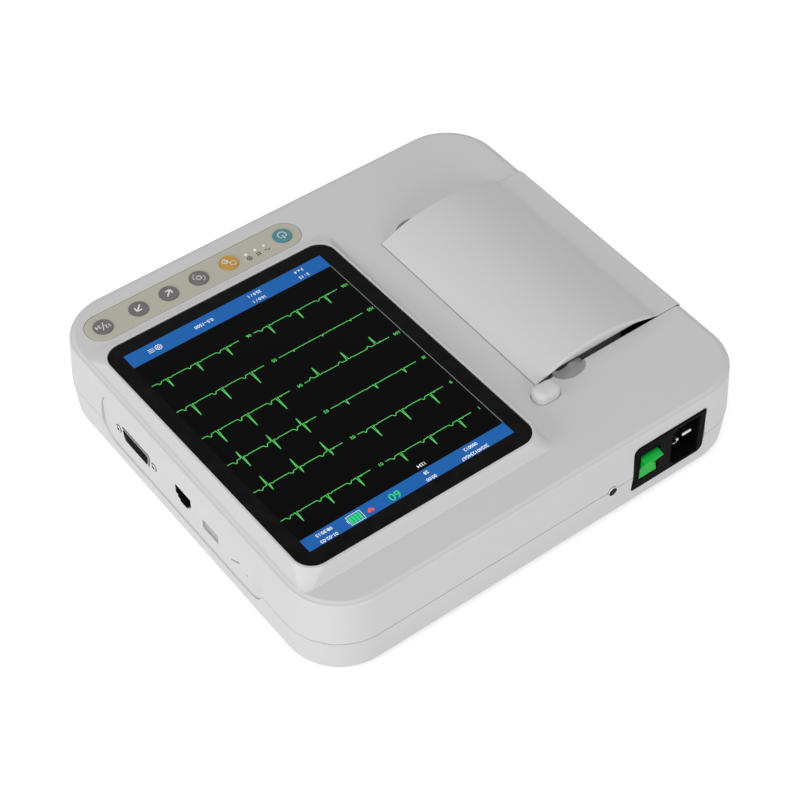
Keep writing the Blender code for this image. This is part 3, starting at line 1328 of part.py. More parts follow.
def release_button(assembly):
    """The button with its flange under the deck and the stem that works the latch."""
    flange_top = DECK_UNDERSIDE - GAP
    flange_low = flange_top - BUTTON_FLANGE
    root = flange_low + BUTTON_FLANGE / 2
    crown = DECK + BUTTON_RISE
    levels = [(0, root)]
    for angle in quarter(EDGE_STEPS):
        inset = BUTTON_ROUND * (1 - math.cos(angle))
        levels.append((inset, crown - BUTTON_ROUND * (1 - math.sin(angle))))
    rings = []
    for inset, z in levels:
        width = BUTTON_WIDTH - 2 * inset
        length = BUTTON_LENGTH - 2 * inset
        outline = centred(BUTTON_X, BUTTON_Y, width, length, BUTTON_CORNER - inset / 2)
        rings.append([(x, y, z) for x, y in outline])
    origin = (BUTTON_X, BUTTON_Y, flange_top)
    button = piece("release_button", stack(rings), assembly, WHITE_PLASTIC, origin)
    flange = centred(
        BUTTON_X + BUTTON_FLANGE,
        BUTTON_Y + BUTTON_FLANGE,
        BUTTON_WIDTH + BUTTON_FLANGE,
        BUTTON_LENGTH + BUTTON_FLANGE,
        BUTTON_CORNER,
    )
    join(button, "flange", extruded(flange, "Z", flange_low, flange_top), assembly)
    stem = centred(STEM_X, STEM_Y, STEM_WIDTH, STEM_LENGTH, GAP, 1)
    join(button, "stem", extruded(stem, "Z", TAIL_HIGH + GAP, root), assembly)


def latch_lever(assembly):
    """The lever whose nose leans beside the platen's shaft until the button turns it away."""
    y_low = LATCH_FRONT_Y
    y_high = LATCH_FRONT_Y + LATCH_THICKNESS
    hook_low = PLATEN_Z + PLATEN_SHAFT_RADIUS + GAP
    hook_high = hook_low + HOOK_THICKNESS
    tail_x_low = STEM_X - STEM_WIDTH / 2
    tail_x_high = STEM_X + STEM_WIDTH / 2
    outline = [
        (LATCH_X - LATCH_HUB_RADIUS, LATCH_Z - LATCH_HUB_RADIUS),
        (LATCH_X + LATCH_HUB_RADIUS, LATCH_Z - LATCH_HUB_RADIUS),
        (tail_x_high, TAIL_LOW),
        (tail_x_high, TAIL_HIGH),
        (tail_x_low, TAIL_HIGH),
        (HOOK_OUTER_X, TAIL_HIGH + LATCH_HUB_RADIUS),
        (HOOK_OUTER_X, hook_high),
        (HOOK_TIP_X, hook_high),
        (HOOK_TIP_X, hook_low),
        (HOOK_INNER_X, hook_low),
        (HOOK_INNER_X, PLATEN_Z - PLATEN_SHAFT_RADIUS - GAP),
        (LATCH_X - LATCH_HUB_RADIUS, LATCH_Z + LATCH_HUB_RADIUS),
    ]
    plate = extruded(outline, "Y", y_low, y_high)
    lever = piece("latch_lever", plate, assembly, DARK_PLASTIC, (LATCH_X, 0, LATCH_Z))
    tail = box(tail_x_low, tail_x_high, y_high - LATCH_THICKNESS / 2, TAIL_REAR_Y, TAIL_LOW, TAIL_HIGH)
    join(lever, "tail", tail, assembly)
    bore = disc(LATCH_X, LATCH_Z, LATCH_AXLE_RADIUS + GAP, SMALL_SIDES)
    cut(lever, "bore", extruded(bore, "Y", y_low - OVERRUN, y_high + OVERRUN), assembly)


def release_spring(assembly):
    """A coil between the chassis shelf and the button's flange, as a curve with a round bevel."""
    low = SHELF_TOP + GAP + SPRING_WIRE
    high = DECK_UNDERSIDE - GAP - BUTTON_FLANGE - GAP - SPRING_WIRE
    curve = bpy.data.curves.new("release_spring", "CURVE")
    curve.dimensions = "3D"
    curve.bevel_depth = SPRING_WIRE
    curve.bevel_resolution = 1
    curve.use_fill_caps = True
    spline = curve.splines.new("POLY")
    count = SPRING_TURNS * SPRING_POINTS
    spline.points.add(count)
    for index, point in enumerate(spline.points):
        angle = 2 * math.pi * index / SPRING_POINTS
        x = SPRING_RADIUS * math.cos(angle)
        y = SPRING_RADIUS * math.sin(angle)
        point.co = (x, y, (high - low) * index / count, 1)
    spring = bpy.data.objects.new("release_spring", curve)
    spring.location = (SPRING_X, SPRING_Y, low)
    spring.parent = assembly
    spring.data.materials.append(material_of("release_spring", STEEL))
    bpy.context.scene.collection.objects.link(spring)


def screen_parts(screen):
    glass = centred(0, 0, GLASS_WIDTH, GLASS_LENGTH, GLASS_CORNER)
    piece("screen_glass", extruded(glass, "Z", -GLASS_THICKNESS, 0), screen, BLACK_GLASS)
    lcd_top = -GLASS_THICKNESS - GAP
    lcd_low = lcd_top - LCD_THICKNESS
    lcd = rectangle(-LCD_WIDTH / 2, LCD_WIDTH / 2, -LCD_LENGTH / 2, LCD_LENGTH / 2)
    piece("lcd_panel", extruded(lcd, "Z", lcd_low, lcd_top), screen, DISPLAY_BLUE)
    window_x, window_y = window_half()
    tray_top = lcd_top - LEDGE_THICKNESS - GAP
    tray_low = lcd_low - GAP - TRAY_FLOOR
    tray_x = window_x + TRAY_WALL
    tray_y = window_y + TRAY_WALL
    blank = extruded(rectangle(-tray_x, tray_x, -tray_y, tray_y), "Z", tray_low, tray_top)
    tray = piece("lcd_bracket", blank, screen, ALUMINIUM)
    pocket = rectangle(-window_x, window_x, -window_y, window_y)
    cut(tray, "pocket", extruded(pocket, "Z", lcd_low - GAP, 0), screen)
    hole_x = window_x - TRAY_WINDOW_MARGIN
    hole_y = window_y - TRAY_WINDOW_MARGIN
    hole = rectangle(-hole_x, hole_x, -hole_y, hole_y)
    cut(tray, "window", extruded(hole, "Z", tray_low - OVERRUN, lcd_low), screen)


def key_strip(assembly):
    strip = rounded(
        STRIP_LEFT_X, STRIP_RIGHT_X, STRIP_Y - STRIP_WIDTH / 2, STRIP_Y + STRIP_WIDTH / 2, STRIP_WIDTH / 2
    )
    sheet = extruded(strip, "Z", DECK - OVERLAY_THICKNESS, DECK)
    overlay = piece("key_overlay", sheet, assembly, STRIP_BEIGE)
    cut(overlay, "holes", key_holes(DECK - OVERRUN), assembly)
    flange_low = key_foot_height() + KEY_FOOT
    top = DECK + KEY_RISE
    for name, share in KEY_PLACE_SHARES.items():
        x = along_strip(share)
        profile = [
            (key_foot_height(), KEY_RADIUS),
            (flange_low, KEY_RADIUS),
            (flange_low, KEY_RADIUS + KEY_FLANGE),
            (flange_low + KEY_FLANGE_HEIGHT, KEY_RADIUS + KEY_FLANGE),
            (flange_low + KEY_FLANGE_HEIGHT, KEY_RADIUS),
            (top - KEY_RISE, KEY_RADIUS),
            (top, KEY_RADIUS - KEY_CROWN),
        ]
        cap = turned(profile, "Z", (x, STRIP_Y))
        piece(name, cap, assembly, KEY_FINISHES.get(name, KEY_GREY), (x, STRIP_Y, DECK))
    for number, share in enumerate(LAMP_PLACE_SHARES, 1):
        outline = disc(along_strip(share), STRIP_Y, LAMP_RADIUS, SMALL_SIDES)
        lamp = extruded(outline, "Z", key_board_top() + GAP, DECK + LAMP_RISE)
        piece(f"indicator_lamp_{number}", lamp, assembly, LAMP_CLEAR)
    low = key_board_top() - KEY_BOARD_THICKNESS
    board = box(
        STRIP_LEFT_X + KEY_BOARD_MARGIN,
        STRIP_RIGHT_X - KEY_BOARD_MARGIN,
        STRIP_Y - KEY_BOARD_WIDTH / 2,
        STRIP_Y + KEY_BOARD_WIDTH / 2,
        low,
        key_board_top(),
    )
    piece("key_board", board, assembly, BOARD_GREEN)


def panel_opening():
    outline = rounded(PANEL_FRONT_Y, PANEL_REAR_Y, PANEL_LOW, PANEL_HIGH, PANEL_CORNER)
    return extruded(outline, "X", PORT_BOARD_X, CASE_WIDTH)


def panel_face():
    return CASE_WIDTH / 2 - PANEL_SINK


def dsub_outline(grow):
    """The D shape of the patient socket, wider at the top."""
    width = DSUB_WIDTH / 2 + grow
    height = DSUB_HEIGHT / 2 + grow
    return [
        (DSUB_Y - width + DSUB_SLANT + DSUB_CORNER, DSUB_Z - height),
        (DSUB_Y + width - DSUB_SLANT - DSUB_CORNER, DSUB_Z - height),
        (DSUB_Y + width - DSUB_SLANT, DSUB_Z - height + DSUB_CORNER),
        (DSUB_Y + width, DSUB_Z + height - DSUB_CORNER),
        (DSUB_Y + width - DSUB_CORNER, DSUB_Z + height),
        (DSUB_Y - width + DSUB_CORNER, DSUB_Z + height),
        (DSUB_Y - width, DSUB_Z + height - DSUB_CORNER),
        (DSUB_Y - width + DSUB_SLANT, DSUB_Z - height + DSUB_CORNER),
    ]


def side_ports(assembly):
    face = panel_face()
    back = face - PANEL_THICKNESS
    plate = rounded(
        PANEL_FRONT_Y + GAP, PANEL_REAR_Y - GAP, PANEL_LOW + GAP, PANEL_HIGH - GAP, PANEL_CORNER - GAP
    )
    panel = piece("side_port_panel", extruded(plate, "X", back, face), assembly, WHITE_PLASTIC)
    jacks = [DSUB_Y + side * JACK_SPACING / 2 for side in (-1, 1)]
    slot = centred(SLOT_Y, SLOT_Z, SLOT_LENGTH, SLOT_WIDTH, SLOT_WIDTH / 2, 2)
    holes = [
        dsub_outline(GAP),
        centred(NETWORK_Y, NETWORK_Z, NETWORK_WIDTH + 2 * GAP, NETWORK_HEIGHT + 2 * GAP, GAP, 1),
        centred(USB_Y, USB_Z, USB_WIDTH + 2 * GAP, USB_HEIGHT + 2 * GAP, GAP, 1),
        slot,
        disc(PIN_HOLE_Y, PIN_HOLE_Z, PIN_HOLE_RADIUS, SMALL_SIDES),
    ] + [disc(y, DSUB_Z, JACK_RADIUS + GAP, SMALL_SIDES) for y in jacks]
    through = [extruded(hole, "X", back - OVERRUN, face + OVERRUN) for hole in holes]
    cut(panel, "holes", merged(*through), assembly)

    flange_face = back - GAP
    flange_back = flange_face - DSUB_FLANGE_THICKNESS
    tip = face + DSUB_STAND
    flange = centred(DSUB_Y, DSUB_Z, DSUB_FLANGE_WIDTH, DSUB_FLANGE_HEIGHT, DSUB_CORNER, 2)
    shell = piece("patient_socket_shell", extruded(flange, "X", flange_back, flange_face), assembly, STEEL)
    rim = extruded(dsub_outline(0), "X", flange_back + DSUB_FLANGE_THICKNESS / 2, tip)
    join(shell, "rim", rim, assembly)
    holes = [extruded(dsub_outline(-DSUB_WALL), "X", flange_back - OVERRUN, tip + OVERRUN)]
    for y in jacks:
        hole = disc(y, DSUB_Z, JACK_HOLE_RADIUS + GAP, SMALL_SIDES)
        holes.append(extruded(hole, "X", flange_back - OVERRUN, face))
    cut(shell, "through", merged(*holes), assembly)
    board_face = PORT_BOARD_X + PORT_BOARD_THICKNESS + GAP
    core = extruded(dsub_outline(-DSUB_WALL - GAP), "X", board_face, tip - DSUB_WALL)
    piece("patient_socket_core", core, assembly, BLACK_PLASTIC)
    for number, y in enumerate(jacks, 1):
        nut = extruded(disc(y, DSUB_Z, JACK_RADIUS, HEX_SIDES), "X", flange_face + GAP, tip + DSUB_WALL)
        jack = piece(f"jack_screw_{number}", nut, assembly, STEEL)
        stud = disc(y, DSUB_Z, JACK_HOLE_RADIUS, SMALL_SIDES)
        join(jack, "stud", extruded(stud, "X", flange_back - GAP, flange_face + 2 * GAP), assembly)
        cut(jack, "bore", extruded(stud, "X", face - SOCKET_CAP, tip + OVERRUN), assembly)

    network = centred(NETWORK_Y, NETWORK_Z, NETWORK_WIDTH, NETWORK_HEIGHT, GAP, 1)
    mouth = face - PORT_SINK
    port = piece("network_port", extruded(network, "X", board_face, mouth), assembly, BLACK_PLASTIC)
    cavity_low = NETWORK_Z - NETWORK_CAVITY_HEIGHT / 2
    cavity_high = NETWORK_Z + NETWORK_CAVITY_HEIGHT / 2
    half = NETWORK_CAVITY_WIDTH / 2
    notch = NETWORK_NOTCH_WIDTH / 2
    cavity = [
        (NETWORK_Y - half, cavity_high),
        (NETWORK_Y - half, cavity_low),
        (NETWORK_Y - notch, cavity_low),
        (NETWORK_Y - notch, cavity_low - NETWORK_NOTCH_HEIGHT / 2),
        (NETWORK_Y + notch, cavity_low - NETWORK_NOTCH_HEIGHT / 2),
        (NETWORK_Y + notch, cavity_low),
        (NETWORK_Y + half, cavity_low),
        (NETWORK_Y + half, cavity_high),
    ]
    cut(port, "cavity", extruded(cavity, "X", mouth - NETWORK_CAVITY_DEPTH, mouth + OVERRUN), assembly)
    usb = centred(USB_Y, USB_Z, USB_WIDTH, USB_HEIGHT, GAP, 1)
    piece("usb_port", extruded(usb, "X", board_face, mouth), assembly, PORT_GREY)
    board = box(
        PORT_BOARD_X,
        PORT_BOARD_X + PORT_BOARD_THICKNESS,
        PORT_BOARD_FRONT_Y,
        PORT_BOARD_REAR_Y,
        PORT_BOARD_LOW,
        PORT_BOARD_HIGH,
    )
    piece("port_board", board, assembly, BOARD_GREEN)


def inlet_face():
    return CASE_DEPTH / 2 - INLET_SINK


def inlet_opening():
    outline = centred(INLET_X, INLET_Z, INLET_WIDTH + 2 * GAP, INLET_HEIGHT + 2 * GAP, INLET_CORNER + GAP)
    return extruded(outline, "Y", inlet_face() - 2 * SKIN - INLET_BEZEL, CASE_DEPTH)


def earth_hole():
    outline = disc(EARTH_X, EARTH_Z, EARTH_RADIUS + GAP, SMALL_SIDES)
    return extruded(outline, "Y", CASE_DEPTH / 2 - 2 * SKIN, CASE_DEPTH)


def mains_inlet(assembly):
    """The black module with the socket and the well of the rocker."""
    face = inlet_face()
    bezel = centred(INLET_X, INLET_Z, INLET_WIDTH, INLET_HEIGHT, INLET_CORNER)
    plate = extruded(bezel, "Y", face - INLET_BEZEL, face)
    module = piece("mains_inlet", plate, assembly, BLACK_PLASTIC)
    body = rectangle(
        INLET_X - INLET_WIDTH / 2 + INLET_BODY_MARGIN,
        INLET_X + INLET_WIDTH / 2 - INLET_BODY_MARGIN,
        INLET_Z - INLET_HEIGHT / 2 + INLET_BODY_MARGIN,
        INLET_Z + INLET_HEIGHT / 2 - INLET_BODY_MARGIN,
    )
    join(module, "body", extruded(body, "Y", face - INLET_BODY_DEPTH, face - INLET_BEZEL / 2), assembly)
    half_w = SOCKET_WIDTH / 2
    half_h = SOCKET_HEIGHT / 2
    socket = [
        (SOCKET_X - half_w, INLET_Z - half_h),
        (SOCKET_X + half_w - SOCKET_CHAMFER, INLET_Z - half_h),
        (SOCKET_X + half_w, INLET_Z - half_h + SOCKET_CHAMFER),
        (SOCKET_X + half_w, INLET_Z + half_h - SOCKET_CHAMFER),
        (SOCKET_X + half_w - SOCKET_CHAMFER, INLET_Z + half_h),
        (SOCKET_X - half_w, INLET_Z + half_h),
    ]
    well = rectangle(
        ROCKER_X - ROCKER_WIDTH / 2 - GAP,
        ROCKER_X + ROCKER_WIDTH / 2 + GAP,
        INLET_Z - ROCKER_WELL_HALF,
        INLET_Z + ROCKER_WELL_HALF,
    )
    wells = merged(
        extruded(socket, "Y", face - SOCKET_DEPTH, face + OVERRUN),
        extruded(well, "Y", face - ROCKER_WELL_DEPTH, face + OVERRUN),
    )
    cut(module, "wells", wells, assembly)
    slots = []
    for number, (x, z) in enumerate(blade_places(), 1):
        slot = centred(x, z, BLADE_WIDTH + 2 * GAP, BLADE_THICKNESS + 2 * GAP, GAP, 1)
        slots.append(extruded(slot, "Y", face - INLET_BODY_DEPTH - OVERRUN, face - SOCKET_DEPTH + OVERRUN))
        blade = centred(x, z, BLADE_WIDTH, BLADE_THICKNESS, BLADE_THICKNESS / 2 - GAP, 1)
        blade_low = face - INLET_BODY_DEPTH - BLADE_TAB
        bar = extruded(blade, "Y", blade_low, face - BLADE_SINK)
        piece(f"inlet_blade_{number}", bar, assembly, STEEL)
    cut(module, "blade_slots", merged(*slots), assembly)


def blade_places():
    return [
        (SOCKET_X - BLADE_OFFSET, INLET_Z + BLADE_PITCH),
        (SOCKET_X - BLADE_OFFSET, INLET_Z - BLADE_PITCH),
        (SOCKET_X + BLADE_OFFSET, INLET_Z),
    ]


def rocker_switch(assembly):
    """The rocker, drawn level about its pivot and then turned so that its top stands out."""
    outline = [
        (ROCKER_TIP, ROCKER_HALF),
        (ROCKER_VALLEY, 0),
        (ROCKER_TIP, -ROCKER_HALF),
        (0, -ROCKER_HALF),
        (-ROCKER_BACK, -ROCKER_BACK_HALF),
        (-ROCKER_BACK, ROCKER_BACK_HALF),
        (0, ROCKER_HALF),
    ]
    half = ROCKER_WIDTH / 2
    rocker = piece("rocker_switch", extruded(outline, "X", -half, half), assembly, ROCKER_GREEN)
    rocker.location = (ROCKER_X, inlet_face() - ROCKER_PIVOT_SINK, INLET_Z)
    rocker.rotation_euler.x = -ROCKER_TILT


def earth_terminal(assembly):
    wall = CASE_DEPTH / 2
    nut_face = rear_face(EARTH_Z - EARTH_NUT_RADIUS) - SKIN - GAP
    profile = [
        (nut_face - EARTH_NUT_THICKNESS, EARTH_NUT_RADIUS),
        (nut_face, EARTH_NUT_RADIUS),
        (nut_face, EARTH_RADIUS),
        (wall + EARTH_REACH / 2, EARTH_RADIUS),
        (wall + EARTH_REACH / 2, EARTH_TIP_RADIUS),
        (wall + EARTH_REACH, EARTH_TIP_RADIUS),
    ]
    piece("earth_terminal", turned(profile, "Y", (EARTH_X, EARTH_Z), SMALL_SIDES), assembly, STEEL)


def base_fittings(assembly):
    """Feet, screws, battery, boards and speaker."""
    for number, (x, y) in enumerate(foot_places(), 1):
        profile = [
            (0, FOOT_RADIUS - FOOT_CHAMFER),
            (FOOT_CHAMFER, FOOT_RADIUS),
            (STAND_HEIGHT + FOOT_SEAT_DEPTH - GAP, FOOT_RADIUS),
        ]
        piece(f"foot_{number}", turned(profile, "Z", (x, y)), assembly, RUBBER)
    for number, (x, y) in enumerate(screw_places(), 1):
        seat = STAND_HEIGHT + SCREW_SINK - GAP
        profile = [
            (seat - SCREW_HEAD_HEIGHT, SCREW_HEAD_RADIUS),
            (seat, SCREW_HEAD_RADIUS),
            (seat, SCREW_RADIUS),
            (seat + SCREW_LENGTH, SCREW_RADIUS),
        ]
        piece(f"case_screw_{number}", turned(profile, "Z", (x, y), SMALL_SIDES), assembly, STEEL)
    plate = battery_plate(0, STAND_HEIGHT, STAND_HEIGHT + SKIN / 2 - GAP)
    lid = piece("battery_cover", plate, assembly, WHITE_PLASTIC)
    tongue = centred(BATTERY_X, BATTERY_Y, BATTERY_WIDTH, BATTERY_LENGTH, BATTERY_CORNER)
    lid_top = STAND_HEIGHT + SKIN / 2 + COVER_LIP
    join(lid, "tongue", extruded(tongue, "Z", STAND_HEIGHT + SKIN / 4, lid_top), assembly)
    pack = extruded(tongue, "Z", lid_top + GAP, lid_top + GAP + BATTERY_HEIGHT)
    piece("battery_pack", pack, assembly, BATTERY_WRAP)

    for name, place in board_places().items():
        circuit_board(name, *place, assembly)

    low = FLOOR_TOP + GAP
    profile = [
        (low, SPEAKER_RADIUS),
        (low + SPEAKER_RIM, SPEAKER_RADIUS),
        (low + SPEAKER_RIM, SPEAKER_MAGNET_RADIUS),
        (low + SPEAKER_HEIGHT, SPEAKER_MAGNET_RADIUS),
    ]
    piece("speaker", turned(profile, "Z", (SPEAKER_X, SPEAKER_Y)), assembly, DARK_PLASTIC)


def board_places():
    """Each board's centre, width, length and table of components."""
    main_size = (MAIN_BOARD_WIDTH, MAIN_BOARD_LENGTH)
    power_size = (POWER_BOARD_WIDTH, POWER_BOARD_LENGTH)
    return {
        "main_board": (MAIN_BOARD_X, MAIN_BOARD_Y, *main_size, MAIN_BOARD_SHARES),
        "power_board": (POWER_BOARD_X, POWER_BOARD_Y, *power_size, POWER_BOARD_SHARES),
    }


def circuit_board(name, x, y, width, length, shares, assembly):
    low = BOARD_HEIGHT
    top = low + BOARD_THICKNESS
    outline = centred(x, y, width, length, GAP, 1)
    board = piece(name, extruded(outline, "Z", low, top), assembly, BOARD_GREEN)
    components = []
    for x_share, y_share, size_share, height_share in shares:
        size = size_share * COMPONENT_SIZE
        footprint = centred(x + x_share * width, y + y_share * length, size, size, GAP, 1)
        high = top + height_share * COMPONENT_HEIGHT
        components.append(extruded(footprint, "Z", top - BOARD_THICKNESS / 2, high))
    join(board, "components", merged(*components), assembly)


def build():
    for obj in list(bpy.data.objects):
        bpy.data.objects.remove(obj)
    assembly = bpy.data.objects.new("assembly", None)
    assembly.location = (-(CASE_WIDTH / 2 + hinge_x() - HINGE_RADIUS) / 2, -EARTH_REACH / 2, 0)
    bpy.context.scene.collection.objects.link(assembly)
    screen = bpy.data.objects.new("screen_plane", None)
    screen.parent = assembly
    screen.location = (SCREEN_X, SCREEN_Y, DECK + SCREEN_RISE)
    screen.rotation_euler.x = SCREEN_TILT
    bpy.context.scene.collection.objects.link(screen)

    shared = []
    for name, bm in (
        ("panel_opening", panel_opening()),
        ("inlet_opening", inlet_opening()),
        ("earth_hole", earth_hole()),
    ):
        helper = object_of(name, bm, assembly)
        helper.hide_render = True
        helper.display_type = "WIRE"
        shared.append(helper)
    lower_case(assembly, shared)
    upper_case(assembly, screen, shared)
    screen_parts(screen)
    key_strip(assembly)
    printer_door(assembly)
    hinge_pin(assembly)
    platen(assembly)
    drive_gears(assembly)
    feed_motor(assembly)
    print_head(assembly)
    printer_chassis(assembly)
    paper_roll(assembly)
    release_button(assembly)
    latch_lever(assembly)
    release_spring(assembly)
    side_ports(assembly)
    mains_inlet(assembly)
    rocker_switch(assembly)
    earth_terminal(assembly)
    base_fittings(assembly)


build()
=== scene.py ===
"""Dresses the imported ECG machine: fine shells, lit screen, keys, ports, finishes, camera and light.

Shapes are drawn in millimetres about the case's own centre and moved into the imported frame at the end.
"""

import math

import bmesh
import bpy
from mathutils import Matrix, Vector


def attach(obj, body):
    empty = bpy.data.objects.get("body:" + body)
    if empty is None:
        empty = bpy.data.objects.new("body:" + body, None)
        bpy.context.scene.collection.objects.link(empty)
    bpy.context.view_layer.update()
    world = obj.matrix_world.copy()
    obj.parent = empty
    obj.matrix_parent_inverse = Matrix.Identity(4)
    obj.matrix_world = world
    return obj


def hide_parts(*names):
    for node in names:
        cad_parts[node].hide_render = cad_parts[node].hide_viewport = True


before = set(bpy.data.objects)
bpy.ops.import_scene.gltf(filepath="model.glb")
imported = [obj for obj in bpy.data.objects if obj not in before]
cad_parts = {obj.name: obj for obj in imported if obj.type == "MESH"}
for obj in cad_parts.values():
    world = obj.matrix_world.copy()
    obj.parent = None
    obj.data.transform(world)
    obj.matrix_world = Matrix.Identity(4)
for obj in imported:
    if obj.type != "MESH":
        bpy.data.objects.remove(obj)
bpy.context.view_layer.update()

MM = 0.001
CASE_CENTRE = Vector((0.000195, -0.00175, 0.0))
TO_ROW = Matrix.Translation(CASE_CENTRE) @ Matrix.Scale(MM, 4)
GAP = 0.3
CORNER_STEPS = 16
EDGE_STEPS = 6
SHARP = math.radians(34)

# Shells
CASE_WIDTH, CASE_DEPTH, CASE_CORNER = 271.0, 246.0, 32.0
PARTING, DECK, SKIN = 24.0, 51.8, 2.5
BASE_LOW, BASE_LEAN, BASE_EDGE = 2.5, 1.2, 3.5
COVER_LEAN, COVER_EDGE = 1.5, 3.0
PARTING_ROUND = 0.35
SEAM = 0.06

# Screen
SCREEN_X, SCREEN_Y, SCREEN_Z = 55.0, 5.5, 56.0
SCREEN_TILT = math.radians(1.86)
GLASS_WIDTH, GLASS_LENGTH, GLASS_CORNER, GLASS_THICKNESS = 139.0, 180.0, 10.0, 1.8
RIM = 1.2
FIELD_X, FIELD_Y, FIELD_WIDTH, FIELD_LENGTH = 0.5, 0.05, 122.0, 162.0
ON_SCREEN = (
    Matrix.Translation((SCREEN_X, SCREEN_Y, SCREEN_Z)) @ Matrix.Rotation(SCREEN_TILT, 4, "X")
)

# Key strip
STRIP_LOW_X, STRIP_HIGH_X, STRIP_Y, STRIP_WIDTH = -9.5, 122.6, -100.9, 19.0
KEY_RADIUS = 5.3
KEYS = {"power": 0.74, "print": 35.06, "lead": 53.94, "up": 72.69, "down": 91.18, "mode": 112.7}
LAMPS = (12.84, 18.43, 24.28)
LAMP_RADIUS = 1.0

STRIP_BED = DECK - 0.5

# Printer door, button and finger bowls
DOOR_FREE_X, DOOR_VALLEY_X, DOOR_FRONT_Y = -37.8, -118.0, -64.0
BARREL_REAR_Y, DOOR_REAR_Y, DOOR_OPENING_REAR_Y, DOOR_OPENING_FRONT_Y = 64.8, 64.6, 65.0, -64.35
DOOR_CREST, DOOR_PROUD, DOOR_WALL, DOOR_GAP = 10.2, 0.4, 2.2, 0.5
EARS_FRONT_Y, EARS_REAR_Y = -64.5, 66.2
HINGE_X, HINGE_Z, HINGE_RADIUS = -133.89, 44.0, 2.0
BUTTON_X, BUTTON_Y, BUTTON_TOP = -37.6, 72.2, 57.9
BUTTON_WIDTH, BUTTON_LENGTH, BUTTON_CORNER, BUTTON_ROUND = 15.2, 10.4, 4.8, 3.4
BOWL_X, BOWL_HALF, BOWL_REACH, BOWL_DEPTH = -58.8, 10.0, 6.6, 8.0

# Side panel and its ports: places along Y and Z
PANEL_Y, PANEL_Z, PANEL_LENGTH, PANEL_HEIGHT, PANEL_CORNER = 0.5, 30.0, 142.0, 32.0, 12.0
PANEL_FACE = 134.2

# Mains inlet
INLET_X, INLET_Z, INLET_WIDTH, INLET_HEIGHT = -77.6, 28.3, 47.2, 30.2
INLET_CORNERS = (1.0, 4.0)
ROCKER_X, WELL_Z = -64.0, 28.5
ROCKER_LEAN = math.radians(-13)
INLET_FACE = 122.8


# ---------------------------------------------------------------- camera

def link(name, data):
    """A new object in the scene with the given mesh, curve, lamp or camera."""
    made = bpy.data.objects.new(name, data)
    bpy.context.scene.collection.objects.link(made)
    return made


camera = link("camera", bpy.data.cameras.new("camera"))
camera.data.lens = 96.89
camera.data.sensor_width = 36
camera.data.clip_start = 0.05
camera.location = (0.456395, 0.60135, 0.8434)
camera.rotation_euler = Vector((0.4062, 0.5352, 0.7407)).to_track_quat("Z", "Y").to_euler()
bpy.context.scene.camera = camera


# ---------------------------------------------------------------- mesh making

def shift(x, y, z):
    return Matrix.Translation((x, y, z))


def laid(bm, matrix):
    """Moves a whole mesh by a matrix."""
    bmesh.ops.transform(bm, matrix=matrix, verts=bm.verts)
    return bm


def points_of(parts):
    """The points among what an operator made."""
    return [part for part in parts if isinstance(part, bmesh.types.BMVert)]


def mesh_of(name, bm):
    mesh = bpy.data.meshes.new(name)
    bm.to_mesh(mesh)
    bm.free()
    return mesh


def baked(made):
    """The mesh of an object with its modifiers applied, the object itself taken away."""
    graph = bpy.context.evaluated_depsgraph_get()
    mesh = bpy.data.meshes.new_from_object(made.evaluated_get(graph))
    bpy.data.objects.remove(made)
    return mesh


def reopened(mesh):
    """A baked mesh taken up again for more work; the mesh itself goes."""
    bm = bmesh.new()
    bm.from_mesh(mesh)
    bpy.data.meshes.remove(mesh)
    return bm


def rounded_face(bm, width, length, corner, place=None, steps=CORNER_STEPS):
    """A flat face with round corners, laid down by a matrix; two radii go to alternate corners."""
    before = set(bm.faces)
    corners = bmesh.ops.create_grid(bm, x_segments=1, y_segments=1, size=0.5)["verts"]
    bmesh.ops.scale(bm, vec=(width, length, 1), verts=corners)
    alike, opposite = corner if isinstance(corner, tuple) else (corner, corner)
    for radius, chosen in (
        (alike, [v for v in corners if v.co.x * v.co.y > 0]),
        (opposite, [v for v in corners if v.co.x * v.co.y < 0]),
    ):
        if radius:
            bmesh.ops.bevel(
                bm, geom=chosen, offset=radius, offset_type="OFFSET", segments=steps,
                profile=0.5, affect="VERTICES", material=-1,
            )
    face = next(found for found in bm.faces if found not in before)
    if place is not None:
        bmesh.ops.transform(bm, matrix=place, verts=face.verts)
    return face


def bridged(bm, faces):
    """Joins flat faces of equal make into one closed solid; only the first and last stay."""
    loops = [face.edges[:] for face in faces]
    bmesh.ops.delete(bm, geom=faces, context="FACES_ONLY")
    for low, high in zip(loops, loops[1:]):
        bmesh.ops.bridge_loops(bm, edges=low + high)
    bmesh.ops.holes_fill(bm, edges=loops[0] + loops[-1], sides=0)
    bmesh.ops.recalc_face_normals(bm, faces=bm.faces)
    return bm


def block_of(levels, x, y, width, length, corner, steps=CORNER_STEPS):
    """A solid with round corners through levels of inset and height."""
    bm = bmesh.new()
    faces = [
        rounded_face(
            bm, width - 2 * inset, length - 2 * inset, max(corner - inset, 0.05),
            shift(x, y, z), steps,
        )
        for inset, z in levels
    ]
    return bridged(bm, faces)


def case_block(levels):
    return block_of(levels, 0, 0, CASE_WIDTH, CASE_DEPTH, CASE_CORNER)


def box(x_low, x_high, y_low, y_high, z_low, z_high):
    bm = bmesh.new()
    bmesh.ops.create_cube(bm, size=1)
    bmesh.ops.scale(bm, vec=(x_high - x_low, y_high - y_low, z_high - z_low), verts=bm.verts)
    centre = Vector((x_low + x_high, y_low + y_high, z_low + z_high)) / 2
    bmesh.ops.translate(bm, vec=centre, verts=bm.verts)
    return bm


